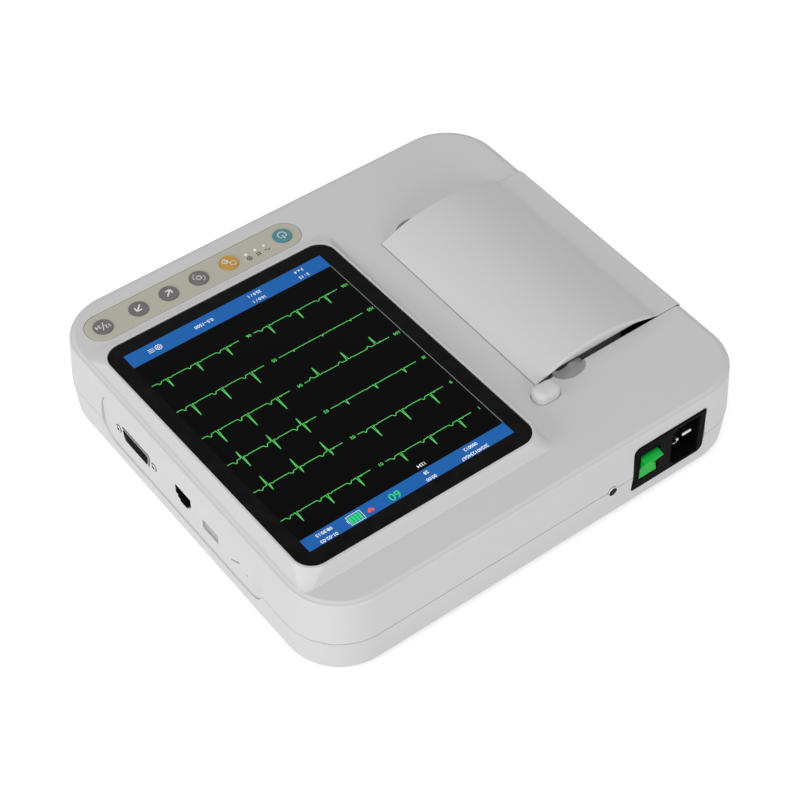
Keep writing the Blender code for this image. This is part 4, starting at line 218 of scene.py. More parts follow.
def drum(radius, low, high, place=None, sides=32):
    """A round bar along Z from low to high, laid down by a matrix."""
    bm = bmesh.new()
    bmesh.ops.create_cone(
        bm, cap_ends=True, segments=sides, radius1=radius, radius2=radius, depth=high - low
    )
    bmesh.ops.translate(bm, vec=(0, 0, (low + high) / 2), verts=bm.verts)
    return bm if place is None else laid(bm, place)


def drums(radius, low, high, places, sides):
    """Upright round bars at several places."""
    return together(*[
        drum(radius, low, high, shift(x, y, 0), sides) for x, y in places
    ])


def prism(points, low, high, place=None):
    """A bar along Z with a drawn outline, laid down by a matrix."""
    bm = bmesh.new()
    face = bm.faces.new([bm.verts.new((x, y, low)) for x, y in points])
    made = bmesh.ops.extrude_face_region(bm, geom=[face])["geom"]
    bmesh.ops.translate(bm, vec=(0, 0, high - low), verts=points_of(made))
    bmesh.ops.recalc_face_normals(bm, faces=bm.faces)
    return bm if place is None else laid(bm, place)


def together(*meshes):
    """Several closed meshes in one."""
    whole = bmesh.new()
    for bm in meshes:
        held = mesh_of("held", bm)
        whole.from_mesh(held)
        bpy.data.meshes.remove(held)
    return whole


def soften(bm, width, segments=2, angle=SHARP, edges=None):
    """Rounds a mesh's sharp edges a little."""
    if edges is None:
        edges = [e for e in bm.edges if len(e.link_faces) == 2 and e.calc_face_angle(0) > angle]
    bmesh.ops.bevel(
        bm, geom=edges, offset=width, offset_type="OFFSET", segments=segments, profile=0.5,
        affect="EDGES", material=-1, clamp_overlap=True,
    )
    return bm


def worked(blank, steps):
    """A blank with other closed meshes joined on and cut away, one after another."""
    body = link("blank", mesh_of("blank", blank))
    tools = []
    for operation, helper in steps:
        tool = link("tool", mesh_of("tool", helper))
        tools.append(tool)
        boolean = body.modifiers.new("step", "BOOLEAN")
        boolean.operation = {"join": "UNION", "cut": "DIFFERENCE"}[operation]
        boolean.solver = "EXACT"
        boolean.object = tool
    mesh = baked(body)
    for tool in tools:
        bpy.data.objects.remove(tool)
    bm = reopened(mesh)
    bmesh.ops.remove_doubles(bm, verts=bm.verts, dist=0.001)
    bmesh.ops.dissolve_degenerate(bm, edges=bm.edges, dist=0.0005)
    return bm


def finished(name, bm, body, material, slot, instead_of=(), place=None):
    """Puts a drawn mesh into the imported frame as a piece, smooth but for its sharp edges."""
    if place is not None:
        laid(bm, place)
    laid(bm, TO_ROW)
    mesh = mesh_of(name, bm)
    mesh.shade_smooth()
    mesh.set_sharp_from_angle(angle=SHARP)
    made = link(name, mesh)
    even = made.modifiers.new("even", "WEIGHTED_NORMAL")
    even.keep_sharp = True
    mesh = baked(made)
    made = link(name, mesh)
    mesh.name = name
    mesh.materials.clear()
    mesh.materials.append(material)
    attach(made, body)
    if instead_of:
        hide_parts(*instead_of)
    return made


# ---------------------------------------------------------------- finishes

def node_group(name, inputs, outputs):
    """A shader group with named float inputs and named outputs; returns it with its ends."""
    group = bpy.data.node_groups.new(name, "ShaderNodeTree")
    for label, value in inputs:
        socket = group.interface.new_socket(name=label, in_out="INPUT", socket_type="NodeSocketFloat")
        socket.default_value = value
    for label, kind in outputs:
        group.interface.new_socket(name=label, in_out="OUTPUT", socket_type=kind)
    start = group.nodes.new("NodeGroupInput")
    end = group.nodes.new("NodeGroupOutput")
    return group, start, end


def noise(tree, coordinate, scale, detail=3, rough=0.5):
    made = tree.nodes.new("ShaderNodeTexNoise")
    made.inputs["Scale"].default_value = scale
    made.inputs["Detail"].default_value = detail
    made.inputs["Roughness"].default_value = rough
    tree.links.new(coordinate, made.inputs["Vector"])
    return made.outputs["Fac"]


def feed(tree, socket, value):
    """Sets a socket to a number or a colour, or links another socket to it."""
    if isinstance(value, tuple):
        socket.default_value = (*value, 1)
    elif isinstance(value, (int, float)):
        socket.default_value = value
    else:
        tree.links.new(value, socket)


def sums(tree, operation, first, second, clamp=False):
    """One step of arithmetic on two sockets or numbers."""
    made = tree.nodes.new("ShaderNodeMath")
    made.operation = operation
    made.use_clamp = clamp
    for socket, value in zip(made.inputs, (first, second)):
        feed(tree, socket, value)
    return made.outputs[0]


def spread(tree, value, *limits):
    """A value taken from one range, low and high, to another."""
    made = tree.nodes.new("ShaderNodeMapRange")
    for socket, given in zip(made.inputs[:5], (value, *limits)):
        feed(tree, socket, given)
    return made.outputs[0]


def grain_group():
    """Moulded or rolled grain: a height for bump, and slow drifts of tone and gloss."""
    group, start, end = node_group(
        "surface_grain",
        [("Fineness", 2600.0), ("Depth", 1.0), ("Drift", 0.02), ("Gloss", 0.45), ("Gloss drift", 0.06)],
        [("Height", "NodeSocketFloat"), ("Tone", "NodeSocketFloat"), ("Roughness", "NodeSocketFloat")],
    )
    place = group.nodes.new("ShaderNodeTexCoord").outputs["Object"]
    fine = group.nodes.new("ShaderNodeTexNoise")
    fine.inputs["Detail"].default_value = 2
    group.links.new(place, fine.inputs["Vector"])
    group.links.new(start.outputs["Fineness"], fine.inputs["Scale"])
    height = sums(group, "MULTIPLY", fine.outputs["Fac"], start.outputs["Depth"])
    slow = noise(group, place, 14.0, 4)
    tone = sums(group, "MULTIPLY", sums(group, "SUBTRACT", slow, 0.5), start.outputs["Drift"])
    patch = sums(group, "SUBTRACT", noise(group, place, 45.0, 3), 0.5)
    speck = sums(group, "MULTIPLY", sums(group, "SUBTRACT", fine.outputs["Fac"], 0.5), 0.12)
    gloss = sums(group, "ADD", sums(group, "MULTIPLY", patch, start.outputs["Gloss drift"]), speck)
    group.links.new(height, end.inputs["Height"])
    group.links.new(sums(group, "ADD", tone, 1.0), end.inputs["Tone"])
    group.links.new(sums(group, "ADD", gloss, start.outputs["Gloss"], True), end.inputs["Roughness"])
    return group


def dust_group():
    """A faint film that settles where a surface faces up, broken by noise."""
    group, start, end = node_group(
        "settled_dust", [("Amount", 0.1)], [("Mask", "NodeSocketFloat")]
    )
    coordinate = group.nodes.new("ShaderNodeTexCoord")
    split = group.nodes.new("ShaderNodeSeparateXYZ")
    group.links.new(coordinate.outputs["Normal"], split.inputs[0])
    up = spread(group, split.outputs["Z"], 0.35, 1.0, 0.0, 1.0)
    broken = spread(group, noise(group, coordinate.outputs["Object"], 130.0, 6, 0.62), 0.42, 0.75, 0.0, 1.0)
    mask = sums(group, "MULTIPLY", sums(group, "MULTIPLY", up, broken), start.outputs["Amount"])
    group.links.new(mask, end.inputs["Mask"])
    return group


def wear_group():
    """Handling along the edges, found from how far a corner points out."""
    group, start, end = node_group(
        "edge_wear", [("Amount", 0.3), ("Start", 0.54)], [("Mask", "NodeSocketFloat")]
    )
    coordinate = group.nodes.new("ShaderNodeTexCoord")
    geometry = group.nodes.new("ShaderNodeNewGeometry")
    ending = sums(group, "ADD", start.outputs["Start"], 0.08)
    edge = spread(group, geometry.outputs["Pointiness"], start.outputs["Start"], ending, 0.0, 1.0)
    rubbed = spread(group, noise(group, coordinate.outputs["Object"], 260.0, 5, 0.6), 0.35, 0.7, 0.2, 1.0)
    mask = sums(group, "MULTIPLY", sums(group, "MULTIPLY", edge, rubbed), start.outputs["Amount"], True)
    group.links.new(mask, end.inputs["Mask"])
    return group


GRAIN, DUST, WEAR = grain_group(), dust_group(), wear_group()
DUST_COLOUR = (0.42, 0.40, 0.37)
GRAIN_HEIGHT = 0.02 * MM


def placed(tree, group, **values):
    made = tree.nodes.new("ShaderNodeGroup")
    made.node_tree = group
    for label, value in values.items():
        made.inputs[label.replace("_", " ")].default_value = value
    return made


def mixed(tree, mask, first, second):
    """One colour fading into another by a mask; each is a socket or a plain colour."""
    made = tree.nodes.new("ShaderNodeMix")
    made.data_type = "RGBA"
    for socket, value in ((0, mask), (6, first), (7, second)):
        feed(tree, made.inputs[socket], value)
    return made.outputs[2]


def new_material(name, values):
    """A material with plain values on its shader, with its node tree and the shader."""
    material = bpy.data.materials.new(name)
    material.use_nodes = True
    shader = material.node_tree.nodes["Principled BSDF"]
    for label, value in values.items():
        shader.inputs[label].default_value = value
    return material, material.node_tree, shader


def finish(
    name, colour, gloss=0.45, metallic=0.0, fineness=2600.0, depth=0.15, drift=0.03, gloss_drift=0.08,
    dust=0.08, wear=0.15, coat=0.0, glow=0.0, shine=0.5,
):
    """A procedural finish: grain in colour, gloss and relief, a little dust, and worn edges."""
    material, tree, shader = new_material(
        name, {"Metallic": metallic, "Specular IOR Level": shine, "Coat Weight": coat}
    )
    if coat:
        shader.inputs["Coat Roughness"].default_value = 0.08
    grain = placed(
        tree, GRAIN, Fineness=fineness, Depth=1.0, Drift=drift, Gloss=gloss, Gloss_drift=gloss_drift
    )
    tinted = tree.nodes.new("ShaderNodeVectorMath")
    tinted.operation = "SCALE"
    tinted.inputs[0].default_value = colour
    tree.links.new(grain.outputs["Tone"], tinted.inputs["Scale"])
    shown = tinted.outputs[0]
    if dust:
        film = placed(tree, DUST, Amount=dust)
        shown = mixed(tree, film.outputs["Mask"], shown, DUST_COLOUR)
    if wear:
        edges = placed(tree, WEAR, Amount=wear)
        pale = tuple(min(1.0, channel * 1.25 + 0.02) for channel in colour)
        shown = mixed(tree, edges.outputs["Mask"], shown, pale)
    tree.links.new(shown, shader.inputs["Base Color"])
    tree.links.new(grain.outputs["Roughness"], shader.inputs["Roughness"])
    if depth:
        relief = tree.nodes.new("ShaderNodeBump")
        relief.inputs["Strength"].default_value = depth
        relief.inputs["Distance"].default_value = GRAIN_HEIGHT
        tree.links.new(grain.outputs["Height"], relief.inputs["Height"])
        tree.links.new(relief.outputs["Normal"], shader.inputs["Normal"])
    if glow:
        tree.links.new(shown, shader.inputs["Emission Color"])
        shader.inputs["Emission Strength"].default_value = glow
    return material


CASE_WHITE = finish(
    "case_moulding", (0.60, 0.595, 0.598), 0.46, drift=0.012, dust=0.0, wear=0.0, depth=0.12, shine=0.35
)
CASE_PART = ("case", CASE_WHITE, "case_plastic")
CASE_INSIDE = finish("case_inside", (0.50, 0.50, 0.50), 0.6, dust=0.15, wear=0.0)
SCREEN_BLACK = finish(
    "screen_glass", (0.003, 0.003, 0.003), 0.10, depth=0.0, gloss_drift=0.02, dust=0.01, wear=0.0, shine=0.04
)
FIELD_BLACK = finish(
    "display_field", (0.0015, 0.0015, 0.0018), 0.10, depth=0.0, gloss_drift=0.02, dust=0.0, wear=0.0,
    shine=0.03,
)


def lit(name, colour, glow, gloss=0.3, shine=0.5):
    """A finish for what the screen shows."""
    return finish(name, colour, gloss, depth=0.0, dust=0.0, wear=0.0, glow=glow, shine=shine)


BAR_BLUE = lit("display_blue", (0.012, 0.10, 0.34), 0.35, 0.25, 0.05)
TRACE_GREEN = lit("display_green", (0.04, 0.42, 0.06), 0.7)
VIVID_GREEN = lit("display_number_green", (0.0, 0.50, 0.10), 0.5)
LABEL_WHITE = lit("display_white", (0.75, 0.80, 0.85), 0.25)
HEART_RED = lit("display_red", (0.75, 0.06, 0.06), 0.3)
PALE_LINE = lit("display_pale_line", (0.16, 0.22, 0.18), 0.3)
STRIP_BEIGE = finish(
    "key_strip_film", (0.455, 0.44, 0.36), 0.5, fineness=3500.0, depth=0.2, wear=0.0, dust=0.03
)
STRIP_BORDER = finish("key_strip_border", (0.47, 0.455, 0.39), 0.5, fineness=3500.0, wear=0.0)
KEY_GREY = finish("key_grey", (0.125, 0.115, 0.12), 0.42, fineness=3000.0, wear=0.4)
KEY_TEAL = finish("key_teal", (0.045, 0.22, 0.27), 0.4, fineness=3000.0, wear=0.4)
KEY_GOLD = finish("key_gold", (0.50, 0.27, 0.02), 0.4, fineness=3000.0, wear=0.4)
KEY_MARK = finish("key_mark_ink", (0.75, 0.75, 0.76), 0.45, wear=0.0, depth=0.0, dust=0.02)
DARK_MARK = finish("strip_mark_ink", (0.05, 0.05, 0.05), 0.5, wear=0.0, depth=0.0, dust=0.02)
LAMP_CLEAR = finish("lamp_lens", (0.80, 0.82, 0.80), 0.15, depth=0.0, wear=0.0, coat=0.6)
STEEL = finish("plated_steel", (0.62, 0.62, 0.61), 0.24, 1.0, fineness=1400.0, depth=0.1, wear=0.2, dust=0.05)
INLET_BLACK = finish(
    "inlet_moulding", (0.005, 0.005, 0.0055), 0.6, fineness=1800.0, depth=0.3, wear=0.02, dust=0.0, shine=0.02
)
PORT_BLACK = finish("port_moulding", (0.005, 0.005, 0.005), 0.6, wear=0.0, dust=0.0, shine=0.02)
PORT_GREY = finish("port_grey", (0.36, 0.355, 0.355), 0.5, dust=0.03)
ROCKER_GREEN = finish(
    "rocker_green", (0.002, 0.46, 0.045), 0.22, fineness=900.0, depth=0.05, wear=0.0, dust=0.0, shine=0.25
)
CONTACT_GOLD = finish("contact_gold", (0.80, 0.60, 0.25), 0.25, 1.0, depth=0.0, wear=0.0)
RUBBER = finish("foot_rubber", (0.028, 0.028, 0.029), 0.8, fineness=1200.0, depth=0.6, dust=0.3, wear=0.0)


# ---------------------------------------------------------------- shells

def quarter(steps):
    return [math.pi / 2 * step / steps for step in range(steps + 1)]


def side_face(z):
    return CASE_WIDTH / 2 - COVER_LEAN * (z - PARTING) / (DECK - COVER_EDGE - PARTING)


# The fillet round the deck, and the small lip inside it: inset and drop below the deck
EDGE_ROUND, LIP_DROP = 1.3, 0.72
DECK_LIP = ((0.25, 0.7), (0.5, 0.62), (1.0, 0.38), (1.45, 0.15), (1.8, 0.03), (2.1, 0.0), (3.2, 0.0))


def cover_blank():
    levels = [(PARTING_ROUND, PARTING + GAP / 2), (0.1, PARTING + GAP), (0, PARTING + 2 * PARTING_ROUND)]
    for angle in quarter(EDGE_STEPS):
        levels.append((
            COVER_LEAN + EDGE_ROUND * (1 - math.cos(angle)),
            DECK - LIP_DROP - EDGE_ROUND * (1 - math.sin(angle)),
        ))
    levels += [(COVER_LEAN + EDGE_ROUND + inset, DECK - drop) for inset, drop in DECK_LIP]
    return case_block(levels)


def cover_hollow():
    return case_block([
        (SKIN, PARTING - 5),
        (COVER_LEAN + SKIN, DECK - COVER_EDGE),
        (COVER_LEAN + COVER_EDGE, DECK - SKIN),
    ])


# How far the screen's slope reaches on each side; its rings as share of the reach, of the left
# reach, and of the height
SKIRT_LEFT, SKIRT_RIGHT, SKIRT_FRONT, SKIRT_REAR, SKIRT_CORNER = 4.4, 4.6, 4.0, 4.0, 4.5
SKIRT_PROFILE = (
    (-0.06, -0.06, 1.0), (0.0, 0.0, 0.985), (0.04, 0.02, 0.94), (0.2, 0.075, 0.76), (0.4, 0.17, 0.56),
    (0.58, 0.32, 0.35), (0.72, 0.48, 0.2), (0.83, 0.64, 0.095), (0.92, 0.8, 0.03), (1.0, 1.0, 0.002),
    (1.04, 1.04, -0.5),
)


def skirt_place(share, left_share, fall):
    """Where one ring of the screen frame's slope lies: its size, its corner and its matrix."""
    reach = max(share, 0)
    half_x = GLASS_WIDTH / 2 + GAP + RIM + min(share, 0) * 6
    half_y = GLASS_LENGTH / 2 + GAP + RIM + min(share, 0) * 6
    x_low, x_high = -half_x - SKIRT_LEFT * max(left_share, 0), half_x + SKIRT_RIGHT * reach
    y_low, y_high = -half_y - SKIRT_FRONT * reach, half_y + SKIRT_REAR * reach
    corner = GLASS_CORNER + GAP + RIM
    corner += (SKIRT_CORNER - corner) * reach + min(share, 0) * 6
    place = Matrix.Identity(4)
    lean = math.tan(SCREEN_TILT) * fall
    place[0][3] = SCREEN_X + (x_low + x_high) / 2
    place[1][3] = SCREEN_Y + (y_low + y_high) / 2
    place[2][1] = lean
    place[2][3] = DECK + (SCREEN_Z - DECK) * fall + lean * (y_low + y_high) / 2
    return x_high - x_low, y_high - y_low, corner, place


def screen_skirt():
    """The soft slope from the rim of the screen frame down to the deck."""
    bm = bmesh.new()
    rings = [rounded_face(bm, *skirt_place(*ring)) for ring in reversed(SKIRT_PROFILE)]
    return bridged(bm, rings)


def bowl(end):
    """The ball that scoops a finger bowl beside the door."""
    bm = bmesh.new()
    bmesh.ops.create_uvsphere(bm, u_segments=48, v_segments=24, radius=1)
    deep = BOWL_DEPTH / 0.9
    bmesh.ops.scale(bm, vec=(BOWL_HALF, BOWL_REACH, deep), verts=bm.verts)
    edge = DOOR_OPENING_REAR_Y if end > 0 else DOOR_OPENING_FRONT_Y
    bmesh.ops.translate(bm, vec=(BOWL_X, edge, DECK), verts=bm.verts)
    return bm


def bowl_wall(end):
    """The blocks a bowl is scooped from: one outside the door's opening, a lower one under the door."""
    edge = DOOR_OPENING_REAR_Y if end > 0 else DOOR_OPENING_FRONT_Y
    side, low = 1.2, DECK - BOWL_DEPTH - 1.8
    x_low, x_high = BOWL_X - BOWL_HALF - side, BOWL_X + BOWL_HALF + side
    outer = sorted((edge - end * 0.6, edge + end * (BOWL_REACH + side)))
    inner = sorted((edge - end * (BOWL_REACH - 1.5), edge + end * 0.5))
    clear_of_gear, clear_of_shaft, under_door = DECK - 6.6, x_high - 4, DECK - 3.6
    inner_low = low if end > 0 else clear_of_gear
    return (
        box(x_low, x_high, *outer, low, DECK - 1),
        box(x_low, clear_of_shaft, *inner, inner_low, under_door),
    )


def on_wall(x, y, z, axis):
    """A matrix that lays a shape drawn flat onto a wall that faces +X or +Y."""
    if axis == "X":
        return Matrix(((0, 0, 1, x), (1, 0, 0, y), (0, 1, 0, z), (0, 0, 0, 1)))
    return Matrix(((-1, 0, 0, x), (0, 0, 1, y), (0, 1, 0, z), (0, 0, 0, 1)))


def on_panel(y, z):
    return on_wall(PANEL_FACE, y, z, "X")


def wall_block(width, height, corner, levels, place, steps=8):
    """A rounded block that stands out of a wall: levels of inset and distance from the wall."""
    bm = bmesh.new()
    radii = corner if isinstance(corner, tuple) else (corner, corner)
    faces = [
        rounded_face(
            bm, width - 2 * inset, height - 2 * inset, tuple(max(radius - inset, 0.04) for radius in radii),
            place @ shift(0, 0, out), steps,
        )
        for inset, out in levels
    ]
    return bridged(bm, faces)


def strip_holes(grow):
    """Bars through all keys and lamps of the strip, a little larger than these."""
    low, high = THROUGH_DECK
    return together(
        drums(KEY_RADIUS + grow, low, high, [(x, STRIP_Y) for x in KEYS.values()], 48),
        drums(LAMP_RADIUS + grow, low, high, [(x, STRIP_Y) for x in LAMPS], 24),
    )


THROUGH_DECK = (DECK - 10, DECK + 5)
ALONG_Y = Matrix(((1, 0, 0, 0), (0, 0, 1, 0), (0, -1, 0, 0), (0, 0, 0, 1)))
SCREW_PLACES = ((-100.0, -114.8), (100.0, -114.8), (112.0, 108.0), (-112.0, 108.0))
EAR_LENGTH = 8.0
EARTH_X, EARTH_Z, EARTH_RADIUS = -40.0, 24.0, 3.0


def hinge_barrel(low, high):
    return drum(HINGE_RADIUS, low, high, shift(HINGE_X, 0, HINGE_Z) @ ALONG_Y)


def ear_spans():
    """From where to where along Y each of the case's three hinge ears reaches."""
    front, rear = EARS_FRONT_Y, EARS_REAR_Y
    middle = (front + rear) / 2
    return (
        (front - GAP, front + EAR_LENGTH),
        (middle - EAR_LENGTH / 2, middle + EAR_LENGTH / 2),
        (rear - EAR_LENGTH, rear + GAP),
    )


def wall_openings():
    """What both shells lack: the seats of the side panel, the inlet and the earth terminal."""
    panel = wall_block(
        PANEL_LENGTH + 2 * SEAM, PANEL_HEIGHT + 2 * SEAM, PANEL_CORNER + SEAM, ((0, -18), (0, 10)),
        on_panel(PANEL_Y, PANEL_Z), 12,
    )
    inlet = wall_block(
        INLET_WIDTH + 2 * GAP, INLET_HEIGHT + 2 * GAP, INLET_CORNERS, ((0, -8), (0, 10)),
        on_wall(INLET_X, INLET_FACE, INLET_Z, "Y"),
    )
    earth = drum(EARTH_RADIUS + 0.1, -6, 10, on_wall(EARTH_X, CASE_DEPTH / 2, EARTH_Z, "Y"), 32)
    return together(panel, inlet, earth)


def make_cover():
    strip = block_of(
        ((0, STRIP_BED - GAP), (0, DECK + 5)), (STRIP_LOW_X + STRIP_HIGH_X) / 2, STRIP_Y,
        STRIP_HIGH_X - STRIP_LOW_X + 2 * GAP, STRIP_WIDTH + 2 * GAP, STRIP_WIDTH / 2 + GAP - 0.01,
    )
    glass = bmesh.new()
    bridged(glass, [
        rounded_face(
            glass, GLASS_WIDTH + 2 * GAP, GLASS_LENGTH + 2 * GAP, GLASS_CORNER + GAP,
            ON_SCREEN @ shift(0, 0, z),
        )
        for z in (-GLASS_THICKNESS - GAP, 5)
    ])
    window = box(-66.6, 66.6, -87.1, 87.1, -40, 0)
    laid(window, ON_SCREEN)
    opening = box(
        -CASE_WIDTH, DOOR_FREE_X + DOOR_GAP, DOOR_OPENING_FRONT_Y, DOOR_OPENING_REAR_Y,
        HINGE_Z - HINGE_RADIUS - GAP, DECK + 20,
    )
    button = block_of(
        [(0, z) for z in THROUGH_DECK], BUTTON_X, BUTTON_Y, BUTTON_WIDTH + 2 * GAP,
        BUTTON_LENGTH + 2 * GAP, BUTTON_CORNER + GAP, 8,
    )
    posts = drums(3.9, 20, DECK - 1.2, SCREW_PLACES, 24)
    ears = together(*[hinge_barrel(low, high) for low, high in ear_spans()])
    stalks = together(*[
        box(HINGE_X - HINGE_RADIUS * 0.2, HINGE_X + HINGE_RADIUS, low, high, 39.2, HINGE_Z)
        for low, high in ear_spans()
    ])
    return worked(cover_blank(), [
        ("join", screen_skirt()),
        ("cut", cover_hollow()),
        ("cut", opening),
        *[("join", block) for end in (1, -1) for block in bowl_wall(end)],
        ("join", posts),
        ("cut", glass),
        ("cut", window),
        ("cut", strip),
        ("cut", strip_holes(GAP)),
        ("cut", together(bowl(1), bowl(-1))),
        ("cut", button),
        ("join", stalks),
        ("join", ears),
        ("cut", wall_openings()),
    ])


finished("cover_shell", make_cover(), *CASE_PART, ["upper_case"])


def make_base():
    """The lower shell with what is seen from below: seats, slots, bores and the battery bay."""
    levels = [
        (BASE_LEAN + BASE_EDGE * (1 - math.sin(a)), BASE_LOW + BASE_EDGE * (1 - math.cos(a)))
        for a in quarter(EDGE_STEPS + 2)
    ]
    levels += [(0, PARTING - 2 * PARTING_ROUND), (0.1, PARTING - GAP), (PARTING_ROUND, PARTING - GAP / 2)]
    hollow = case_block([
        (BASE_LEAN + BASE_EDGE, BASE_LOW + SKIN),
        (BASE_LEAN + SKIN, BASE_LOW + BASE_EDGE),
        (SKIN, PARTING + 5),
    ])
    feet = drums(7.3, 0, BASE_LOW + 0.8, [(x, y) for x in (-118, 118) for y in (-95, 95)], 40)
    heads = drums(3.2, 0, BASE_LOW + 3.4, SCREW_PLACES, 28)
    bosses = drums(4.2, 4, 19.7, SCREW_PLACES, 28)
    bores = drums(1.8, 0, 25, SCREW_PLACES, 20)
    slots = together(*[
        block_of(((0, 0), (0, 8)), -80 + 5 * (slot - 2), -93, 1.6, 18, 0.79, 6) for slot in range(5)
    ])
    bay = block_of(((0, 4), (0, 14)), 55, -55, 94.2, 66.2, 3, 6)
    bay_inside = block_of(((0, -1), (0, 16)), 55, -55, 90.6, 62.6, 3, 6)
    plate = block_of(((0, 0), (0, BASE_LOW + SKIN / 2)), 55, -55, 97.6, 69.6, 3.3, 6)
    return worked(case_block(levels), [
        ("cut", hollow),
        ("join", together(bosses, bay)),
        ("cut", bay_inside),
        ("cut", plate),
        ("cut", bores),
        ("cut", together(feet, heads, slots)),
        ("cut", wall_openings()),
    ])


finished("base_shell", make_base(), *CASE_PART, ["lower_case"])


# ---------------------------------------------------------------- printer door

# Rolls of the sheet's ends, then the barrel's rear end: its top edge, curl, opening, lean and wall
FRONT_ROLL, REAR_ROLL, FLANK_ROLL, ROLL_STEPS = 1.2, 1.0, 0.5, 16
TOP_ROUND, CURL_ROUND, END_LIFT, END_LEAN, SHEET_WALL = 1.6, 1.4, 1.7, 1.5, 1.1
WALL_SHARE, CURL_SHARE = 0.3, 0.6
DOOR_TOP = DECK + DOOR_PROUD
WALL_X = -side_face(HINGE_Z) - DOOR_PROUD


def door_sheet():
    """The door's outside as a flat-ended sheet: the barrel, the flank and the wall down to the hinge."""
    radius = ((DOOR_FREE_X - DOOR_VALLEY_X) ** 2 / 4 + DOOR_CREST**2) / (2 * DOOR_CREST)
    middle = (DOOR_FREE_X + DOOR_VALLEY_X) / 2
    reach = math.asin((DOOR_FREE_X - DOOR_VALLEY_X) / 2 / radius)
    bm = bmesh.new()
    first = bm.verts.new((DOOR_FREE_X, 0, DOOR_TOP))
    swept = bmesh.ops.spin(
        bm, geom=[first], cent=(middle, 0, DOOR_TOP + DOOR_CREST - radius), axis=(0, 1, 0),
        angle=-2 * reach, steps=40, use_duplicate=False,
    )
    end = points_of(swept["geom_last"])[0]
    corner = bm.verts.new((WALL_X, 0, DOOR_TOP))
    notch = bm.verts.new((WALL_X, 0, HINGE_Z + HINGE_RADIUS + GAP))
    foot = bm.verts.new((WALL_X, 0, HINGE_Z))
    lip = bm.verts.new((DOOR_FREE_X, 0, DECK - DOOR_WALL))
    for pair in ((end, corner), (corner, notch), (notch, foot), (lip, first)):
        bm.edges.new(pair)
    bmesh.ops.translate(bm, vec=(0, DOOR_FRONT_Y, 0), verts=bm.verts)
    spans = ear_spans()
    rows = [DOOR_FRONT_Y + FRONT_ROLL * step / 4 for step in range(1, 5)]
    rows += [spans[0][1] + GAP, -30, spans[1][0] - GAP, spans[1][1] + GAP, 30, spans[2][0] - GAP]
    rows += [BARREL_REAR_Y - REAR_ROLL * (1 - step / ROLL_STEPS) for step in range(ROLL_STEPS + 1)]
    edges, at = bm.edges[:], DOOR_FRONT_Y
    for row in sorted(rows):
        made = bmesh.ops.extrude_edge_only(bm, edges=edges)["geom"]
        bmesh.ops.translate(bm, vec=(0, row - at, 0), verts=points_of(made))
        edges, at = [part for part in made if isinstance(part, bmesh.types.BMEdge)], row
    bmesh.ops.remove_doubles(bm, verts=bm.verts, dist=0.001)

    def along(x, z):
        return [
            e for e in bm.edges
            if all(abs(v.co.x - x) < 0.01 and abs(v.co.z - z) < 0.01 for v in e.verts)
        ]

    soften(bm, 9.0, 8, edges=along(DOOR_VALLEY_X, DOOR_TOP))
    soften(bm, 2.4, 6, edges=along(WALL_X, DOOR_TOP))
    soften(bm, 0.7, 3, edges=along(DOOR_FREE_X, DOOR_TOP))
    return bm


def smooth_step(value):
    value = min(max(value, 0), 1)
    return value * value * (3 - 2 * value)


def barrel_end(turn, high):
    """The rear end of the barrel in profile: a round top edge, a wall, and a curl under it."""
    top, lean = min(TOP_ROUND, 0.3 * high), END_LEAN * smooth_step(high / 6)
    lift = END_LIFT * smooth_step((high - 2.2) / 3.4)
    low = min(lift + CURL_ROUND, (high - top + lift) / 2)
    if turn < WALL_SHARE:
        angle = turn / WALL_SHARE * math.pi / 2
        return -top * (1 - math.sin(angle)), high - top * (1 - math.cos(angle))
    if turn < CURL_SHARE:
        part = (turn - WALL_SHARE) / (CURL_SHARE - WALL_SHARE)
        return -lean * part * part, high - top - part * (high - top - low)
    angle = (turn - CURL_SHARE) / (1 - CURL_SHARE) * math.pi / 2
    return -lean - CURL_ROUND * (1 - math.cos(angle)), low - (low - lift) * math.sin(angle)


def roll_ends(bm):
    """Shapes the ends of the sheet: a small roll along the flank, a wall with a curl under the barrel."""
    for vert in bm.verts:
        x, y, z = vert.co
        high = z - DOOR_TOP
        share = smooth_step(high / 2.6)
        turn = (y - BARREL_REAR_Y + REAR_ROLL) / REAR_ROLL
        if turn > 0:
            angle = turn * math.pi / 2
            out, up = barrel_end(turn, max(high + DOOR_PROUD, 0.1))
            flat = DOOR_REAR_Y - FLANK_ROLL * (1 - math.sin(angle))
            y = flat + share * (BARREL_REAR_Y + out - flat)
            fallen = z - FLANK_ROLL * (1 - math.cos(angle))
            z = fallen + share * (DECK + up - fallen) if high > -0.8 else z
        turn = (DOOR_FRONT_Y + FRONT_ROLL - y) / FRONT_ROLL * math.pi / 2
        if turn > 0 and high > -0.8:
            y = DOOR_FRONT_Y - 0.2 + (FRONT_ROLL + 0.2) * (1 - math.sin(turn))
            z -= min(max(high, 0.25), FRONT_ROLL) * (1 - math.cos(turn))
        vert.co = (x, y, z)


